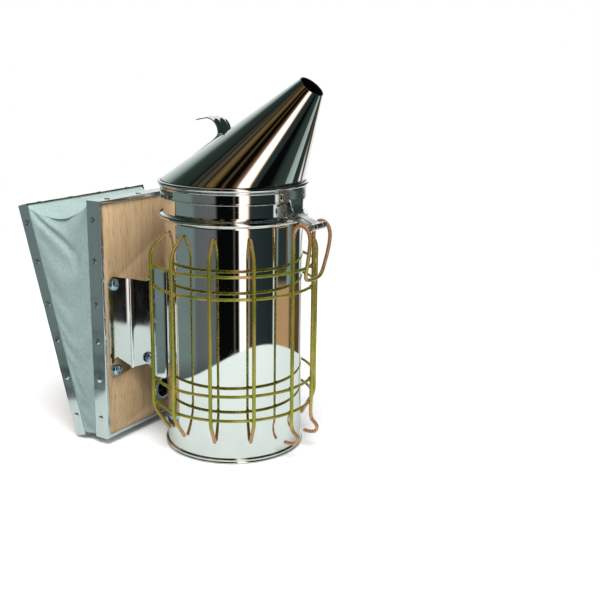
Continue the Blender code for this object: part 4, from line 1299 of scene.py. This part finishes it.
def build_brackets():
    for side, name in ((-1, "near"), (1, "far")):
        stations = [(x, side * y, low, high) for x, y, low, high in bracket_stations()]
        sheet = standing_sheet(bmesh.new(), stations, BRACKET_SHEET, 24, 0.05 * MM)
        piece = add_object(f"bracket_sheet_{name}", sheet, bent_steel, 40)
        settle(piece, "polished_stainless", "chamber", f"bellows_bracket_{name}")


def cross_recess(degrees):
    """Cross-shaped prism that stands in the bolt head's crown."""
    corner = [Vector((CROSS_HALF_WIDTH, CROSS_HALF_WIDTH)), Vector((CROSS_HALF_WIDTH, CROSS_REACH))]
    corner.append(Vector((-CROSS_HALF_WIDTH, CROSS_REACH)))
    outline = [Matrix.Rotation(math.pi / 2 * turn, 2) @ point for turn in range(4) for point in corner]
    bm = bmesh.new()
    back = [bm.verts.new((BOLT_HEAD_HEIGHT - CROSS_DEPTH, y, z)) for y, z in outline]
    front = [bm.verts.new((BOLT_HEAD_HEIGHT + MM, y, z)) for y, z in outline]
    ring_faces(bm, back, front)
    bm.faces.new(back)
    bm.faces.new(reversed(front))
    bm.transform(Matrix.Rotation(math.radians(degrees), 4, "X"))
    return bm


def build_bolts():
    """Pan-head bolts with a cross recess, through bracket and board."""
    head_x = BOARD_FACE_X + GAP + BRACKET_SHEET + GAP
    shank_end = -BOARD_THICK - 3.4 * MM - (head_x - BOARD_FACE_X)
    number = 0
    for height in BOLT_HEIGHTS:
        for side in (-1, 1):
            number += 1
            profile = [(BOLT_SHANK_R - 0.3 * MM, shank_end), (BOLT_SHANK_R, shank_end + 0.4 * MM)]
            profile += [(BOLT_SHANK_R, 0.0)]
            profile += [(BOLT_HEAD_R - 0.2 * MM, 0.0)]
            for i in range(13):
                angle = math.pi / 2 * i / 12
                profile.append((max(BOLT_HEAD_R * math.cos(angle) ** 0.8, 0.15 * MM),
                                0.25 * MM + (BOLT_HEAD_HEIGHT - 0.25 * MM) * math.sin(angle)))
            turned = lay_along_x(solid_of_rings(profile, 40), (0, 0, 0))
            bolt = add_object(f"pan_bolt_{number}", turned, bolt_zinc)
            cut(bolt, cross_recess(20 * number))
            bolt.data.transform(Matrix.Translation((head_x, side * BOLT_Y, height)))
            settle(bolt, "blue_zinc", "chamber", f"bracket_bolt_{number}")


# ---------------------------------------------------------------- carried CAD nodes


def refine(name, material, edge=0.12 * MM):
    """Keeps a CAD node's shape: welds its facets, rounds its edges a little and gives it its finish."""
    node = frame["nodes"][name]
    node.data.materials.clear()
    node.data.materials.append(material)
    node.data.shade_smooth()
    weld = node.modifiers.new("Weld", "WELD")
    weld.merge_threshold = 0.00001
    bevel = node.modifiers.new("Bevel", "BEVEL")
    bevel.width = edge
    bevel.segments = 2
    bevel.limit_method = "ANGLE"
    bevel.angle_limit = math.radians(40)
    bevel.harden_normals = False
    split = node.modifiers.new("Split", "EDGE_SPLIT")
    split.split_angle = math.radians(50)


def refine_nodes():
    refine("inner_board", wood, 0.4 * MM)
    refine("outer_board", wood, 0.4 * MM)
    refine("air_eyelet", tin)
    refine("air_inlet_tube", bent_steel)
    refine("hinge_pin", bent_steel)
    for number in range(1, 5):
        refine(f"bracket_nut_{number}", bolt_zinc)


# ---------------------------------------------------------------- studio


def linear(red, green, blue, gain=1.0):
    """Linear colour from display values of 0 to 255."""
    values = []
    for value in (red, green, blue):
        share = value / 255
        values.append(gain * (share / 12.92 if share <= 0.04045 else ((share + 0.055) / 1.055) ** 2.4))
    return tuple(values)


def bands(stops):
    """Ramp stops from (degrees to the right of the camera, colour) pairs."""
    return [((degrees + 180) / 360, colour) for degrees, colour in stops]


WHITE = linear(250, 252, 252)
PALE = linear(105, 121, 119, 1.2)
GREY = linear(88, 94, 94, 1.2)
BLACK = linear(8, 9, 9)
SLATE = linear(38, 49, 49, 1.2)
WOOD_BROWN = linear(172, 138, 100, 1.2)
DARK_BROWN = linear(82, 62, 42, 1.2)

GLARE = linear(255, 252, 250, 1.5)
WARM_GLARE = linear(255, 240, 228, 1.5)
DRAPE = linear(30, 39, 39, 1.2)

WALL_STOPS = [
    (-180, WHITE), (-150, WHITE), (-147, DARK_BROWN), (-128, DARK_BROWN), (-122, PALE), (-70, PALE),
    (-64, GREY), (-30, linear(92, 96, 98, 1.2)), (-26, BLACK), (-1, BLACK), (1.2, linear(96, 88, 80)),
    (3, BLACK), (8.2, BLACK), (9.4, GLARE), (22, linear(255, 236, 222, 1.5)), (25.5, linear(96, 70, 52)),
    (29, SLATE), (67, DRAPE), (69, WHITE),
]
LOW_BANDS = bands(WALL_STOPS + [
    (72, linear(150, 160, 150)), (76, WOOD_BROWN), (102, WOOD_BROWN), (108, DARK_BROWN), (142, DARK_BROWN),
    (148, WHITE), (180, WHITE),
])
RIM_BANDS = bands(WALL_STOPS + [
    (75, linear(140, 165, 158)), (78, SLATE), (96, SLATE), (99, linear(130, 152, 147)),
    (108, linear(110, 132, 128)), (111, SLATE), (138, SLATE), (146, WHITE), (180, WHITE),
])
HIGH_BANDS = bands([
    (-180, WHITE), (-160, linear(205, 216, 212)), (-146, linear(150, 164, 160)),
    (-134, linear(60, 72, 68, 1.2)), (-126, linear(42, 52, 48, 1.2)), (-94, linear(38, 48, 44)), (-90, BLACK),
    (-86, linear(46, 50, 44)), (-76, linear(66, 64, 54)), (-72, BLACK), (-68, linear(80, 76, 62)),
    (-58, linear(76, 68, 50)), (-53, BLACK), (-49, linear(100, 86, 56)), (-40, linear(116, 94, 56)),
    (-34, linear(84, 64, 34)), (-30, BLACK), (-22, BLACK), (-19, linear(92, 72, 40)), (-14, BLACK),
    (-5, BLACK), (0, linear(104, 70, 46)), (4, linear(160, 122, 100)), (7, GLARE), (18, WARM_GLARE),
    (22, linear(130, 92, 72)), (27, BLACK), (50, BLACK), (66, SLATE), (150, SLATE), (160, WHITE),
])
DEEP_BANDS = bands([
    (-180, WHITE), (-150, PALE), (-120, SLATE), (-25, SLATE), (-20, BLACK), (2, BLACK), (6, GLARE),
    (22, WARM_GLARE), (25, DARK_BROWN), (33, BLACK), (60, BLACK), (72, linear(44, 56, 52)),
    (95, linear(56, 68, 63)), (97, linear(150, 168, 160)), (113, linear(176, 192, 186)), (115, BLACK),
    (119, SLATE), (129, SLATE), (133, WHITE), (180, WHITE),
])


def build_world():
    """White to the eye and soft white to matt surfaces; mirrors see dark drapes and one bright strip."""
    world = bpy.data.worlds.new("studio")
    bpy.context.scene.world = world
    world.use_nodes = True
    world.node_tree.nodes.clear()
    studio = Nodes(world.node_tree)
    direction = studio.node("ShaderNodeTexCoord").outputs["Generated"]
    parts = studio.node("ShaderNodeSeparateXYZ")
    studio.link(direction, parts.inputs["Vector"])
    azimuth = studio.maths("ARCTAN2", parts.outputs["Y"], parts.outputs["X"])
    turned = studio.maths("ADD", azimuth, math.pi - VIEW_AZIMUTH)
    share = studio.maths("FRACT", studio.maths("DIVIDE", turned, 2 * math.pi))

    def above(degrees, softness, lower, upper):
        """Passes from one band picture to the next where the ray climbs past a number of degrees."""
        low, high = (math.sin(math.radians(degrees + step)) for step in (0, softness))
        return studio.mix(studio.span(parts.outputs["Z"], low, high, 0.0, 1.0), lower, upper)

    seen = studio.ramp(share, DEEP_BANDS)
    for degrees, softness, stops in ((-20, 2, LOW_BANDS), (-14, 0.7, RIM_BANDS), (-7, 6, HIGH_BANDS)):
        seen = above(degrees, softness, seen, studio.ramp(share, stops))
    rays = studio.node("ShaderNodeLightPath").outputs
    plain = studio.mix(rays["Is Camera Ray"], (0.52, 0.53, 0.535, 1.0), (1.0, 1.0, 1.0, 1.0))
    background = studio.node("ShaderNodeBackground")
    studio.link(studio.mix(rays["Is Glossy Ray"], plain, seen), background.inputs["Color"])
    output = studio.node("ShaderNodeOutputWorld")
    studio.link(background.outputs["Background"], output.inputs["Surface"])
    world.cycles.sampling_method = "NONE"


def build_floor():
    """Plain pale floor. Mirrors see it as a round table."""
    bm = bmesh.new()
    size = FLOOR_HALF_SIDE
    corners = ((-size, -size), (size, -size), (size, size), (-size, size))
    bm.faces.new([bm.verts.new((x, y, -0.05 * MM)) for x, y in corners])
    finish = Finish("pale_floor")
    position = finish.node("ShaderNodeNewGeometry").outputs["Position"]
    centre = Vector((*TABLE_CENTRE, 0)) @ Matrix.Rotation(-VIEW_AZIMUTH, 3, "Z")
    from_centre = finish.node("ShaderNodeVectorMath", operation="DISTANCE")
    finish.link(position, from_centre.inputs[0])
    from_centre.inputs[1].default_value = centre
    outside = finish.span(from_centre.outputs["Value"], TABLE_R, TABLE_R + 4 * MM, 0.0, 1.0)
    length = finish.node("ShaderNodeVectorMath", operation="LENGTH")
    finish.link(position, length.inputs[0])
    far = finish.span(length.outputs["Value"], FLOOR_FADE_START, FLOOR_FADE_END, 0.0, 1.0)
    rays = finish.node("ShaderNodeLightPath")
    glossy = rays.outputs["Is Glossy Ray"]
    eye = rays.outputs["Is Camera Ray"]
    past_table = finish.maths("MULTIPLY", outside, glossy)
    hidden = finish.maths("ADD", past_table, finish.maths("MULTIPLY", far, eye))
    speckle = finish.noise((1, 1, 1), 60.0, 3.0)
    share = finish.span(speckle, 0.3, 0.7, 0.0, 1.0)
    pale = finish.mix(share, (0.95, 0.955, 0.955, 1.0), (0.975, 0.975, 0.975, 1.0))
    colour = finish.mix(glossy, pale, (0.56, 0.62, 0.60, 1.0))
    colour = finish.mix(rays.outputs["Is Diffuse Ray"], colour, (0.42, 0.43, 0.43, 1.0))
    finish.feed(Base_Color=colour, Roughness=0.9, Specular_IOR_Level=0.1)
    clear = finish.node("ShaderNodeBsdfTransparent")
    mixed = finish.node("ShaderNodeMixShader")
    output = finish.tree.nodes["Material Output"]
    finish.link(hidden, mixed.inputs[0])
    finish.link(finish.shader.outputs["BSDF"], mixed.inputs[1])
    finish.link(clear.outputs["BSDF"], mixed.inputs[2])
    finish.link(mixed.outputs["Shader"], output.inputs["Surface"])
    add_object("floor", bm, finish.material)


def build_lights():
    """Broad soft key from above and a weak fill from the front; mirrors see neither."""
    for name, place, size, power in (
        ("key", Vector((0.35, -0.6, 1.6)), 1.3, 35.0),
        ("fill", Vector((1.2, -0.3, 0.7)), 1.2, 5.0),
    ):
        light = bpy.data.lights.new(name, "AREA")
        light.shape = "DISK"
        light.size = size
        light.energy = power
        lamp = bpy.data.objects.new(name, light)
        lamp.location = place
        lamp.rotation_euler = (Vector((0, 0, 0.1)) - place).to_track_quat("-Z", "Y").to_euler()
        lamp.visible_glossy = False
        bpy.context.scene.collection.objects.link(lamp)


def build_camera():
    forward = CAMERA_FORWARD.normalized()
    level = forward.cross(Vector((0, 0, 1))).normalized()
    upright = level.cross(forward)
    right = level * math.cos(CAMERA_ROLL) + upright * math.sin(CAMERA_ROLL)
    top = upright * math.cos(CAMERA_ROLL) - level * math.sin(CAMERA_ROLL)
    lens = bpy.data.cameras.new("view")
    lens.lens = CAMERA_LENS
    lens.sensor_width = 36.0
    camera = bpy.data.objects.new("view", lens)
    turn = Matrix((right, top, -forward)).transposed().to_4x4()
    camera.matrix_world = Matrix.Translation(CAMERA_PLACE) @ turn
    bpy.context.scene.collection.objects.link(camera)
    bpy.context.scene.camera = camera
    bpy.context.scene.view_settings.view_transform = "Standard"


build_barrel()
build_pan()
build_grate()
build_rings()
build_uprights()
build_hook()
build_guard_welds()
build_cone()
build_lid_band()
build_lever()
build_hinge_strap()
build_hinge_bracket()
build_spot_welds()
build_edging("inner", BOARD_FACE_X, -1, INNER_DEPTH, BOARD_BOTTOM, Matrix.Identity(4), "chamber")
build_edging("outer", OUTER_FACE, 1, OUTER_DEPTH, OUTER_BOTTOM, outer_frame(), "outer_bellows")
build_skirt()
build_spring()
build_brackets()
build_bolts()
refine_nodes()
build_world()
build_floor()
build_lights()
build_camera()
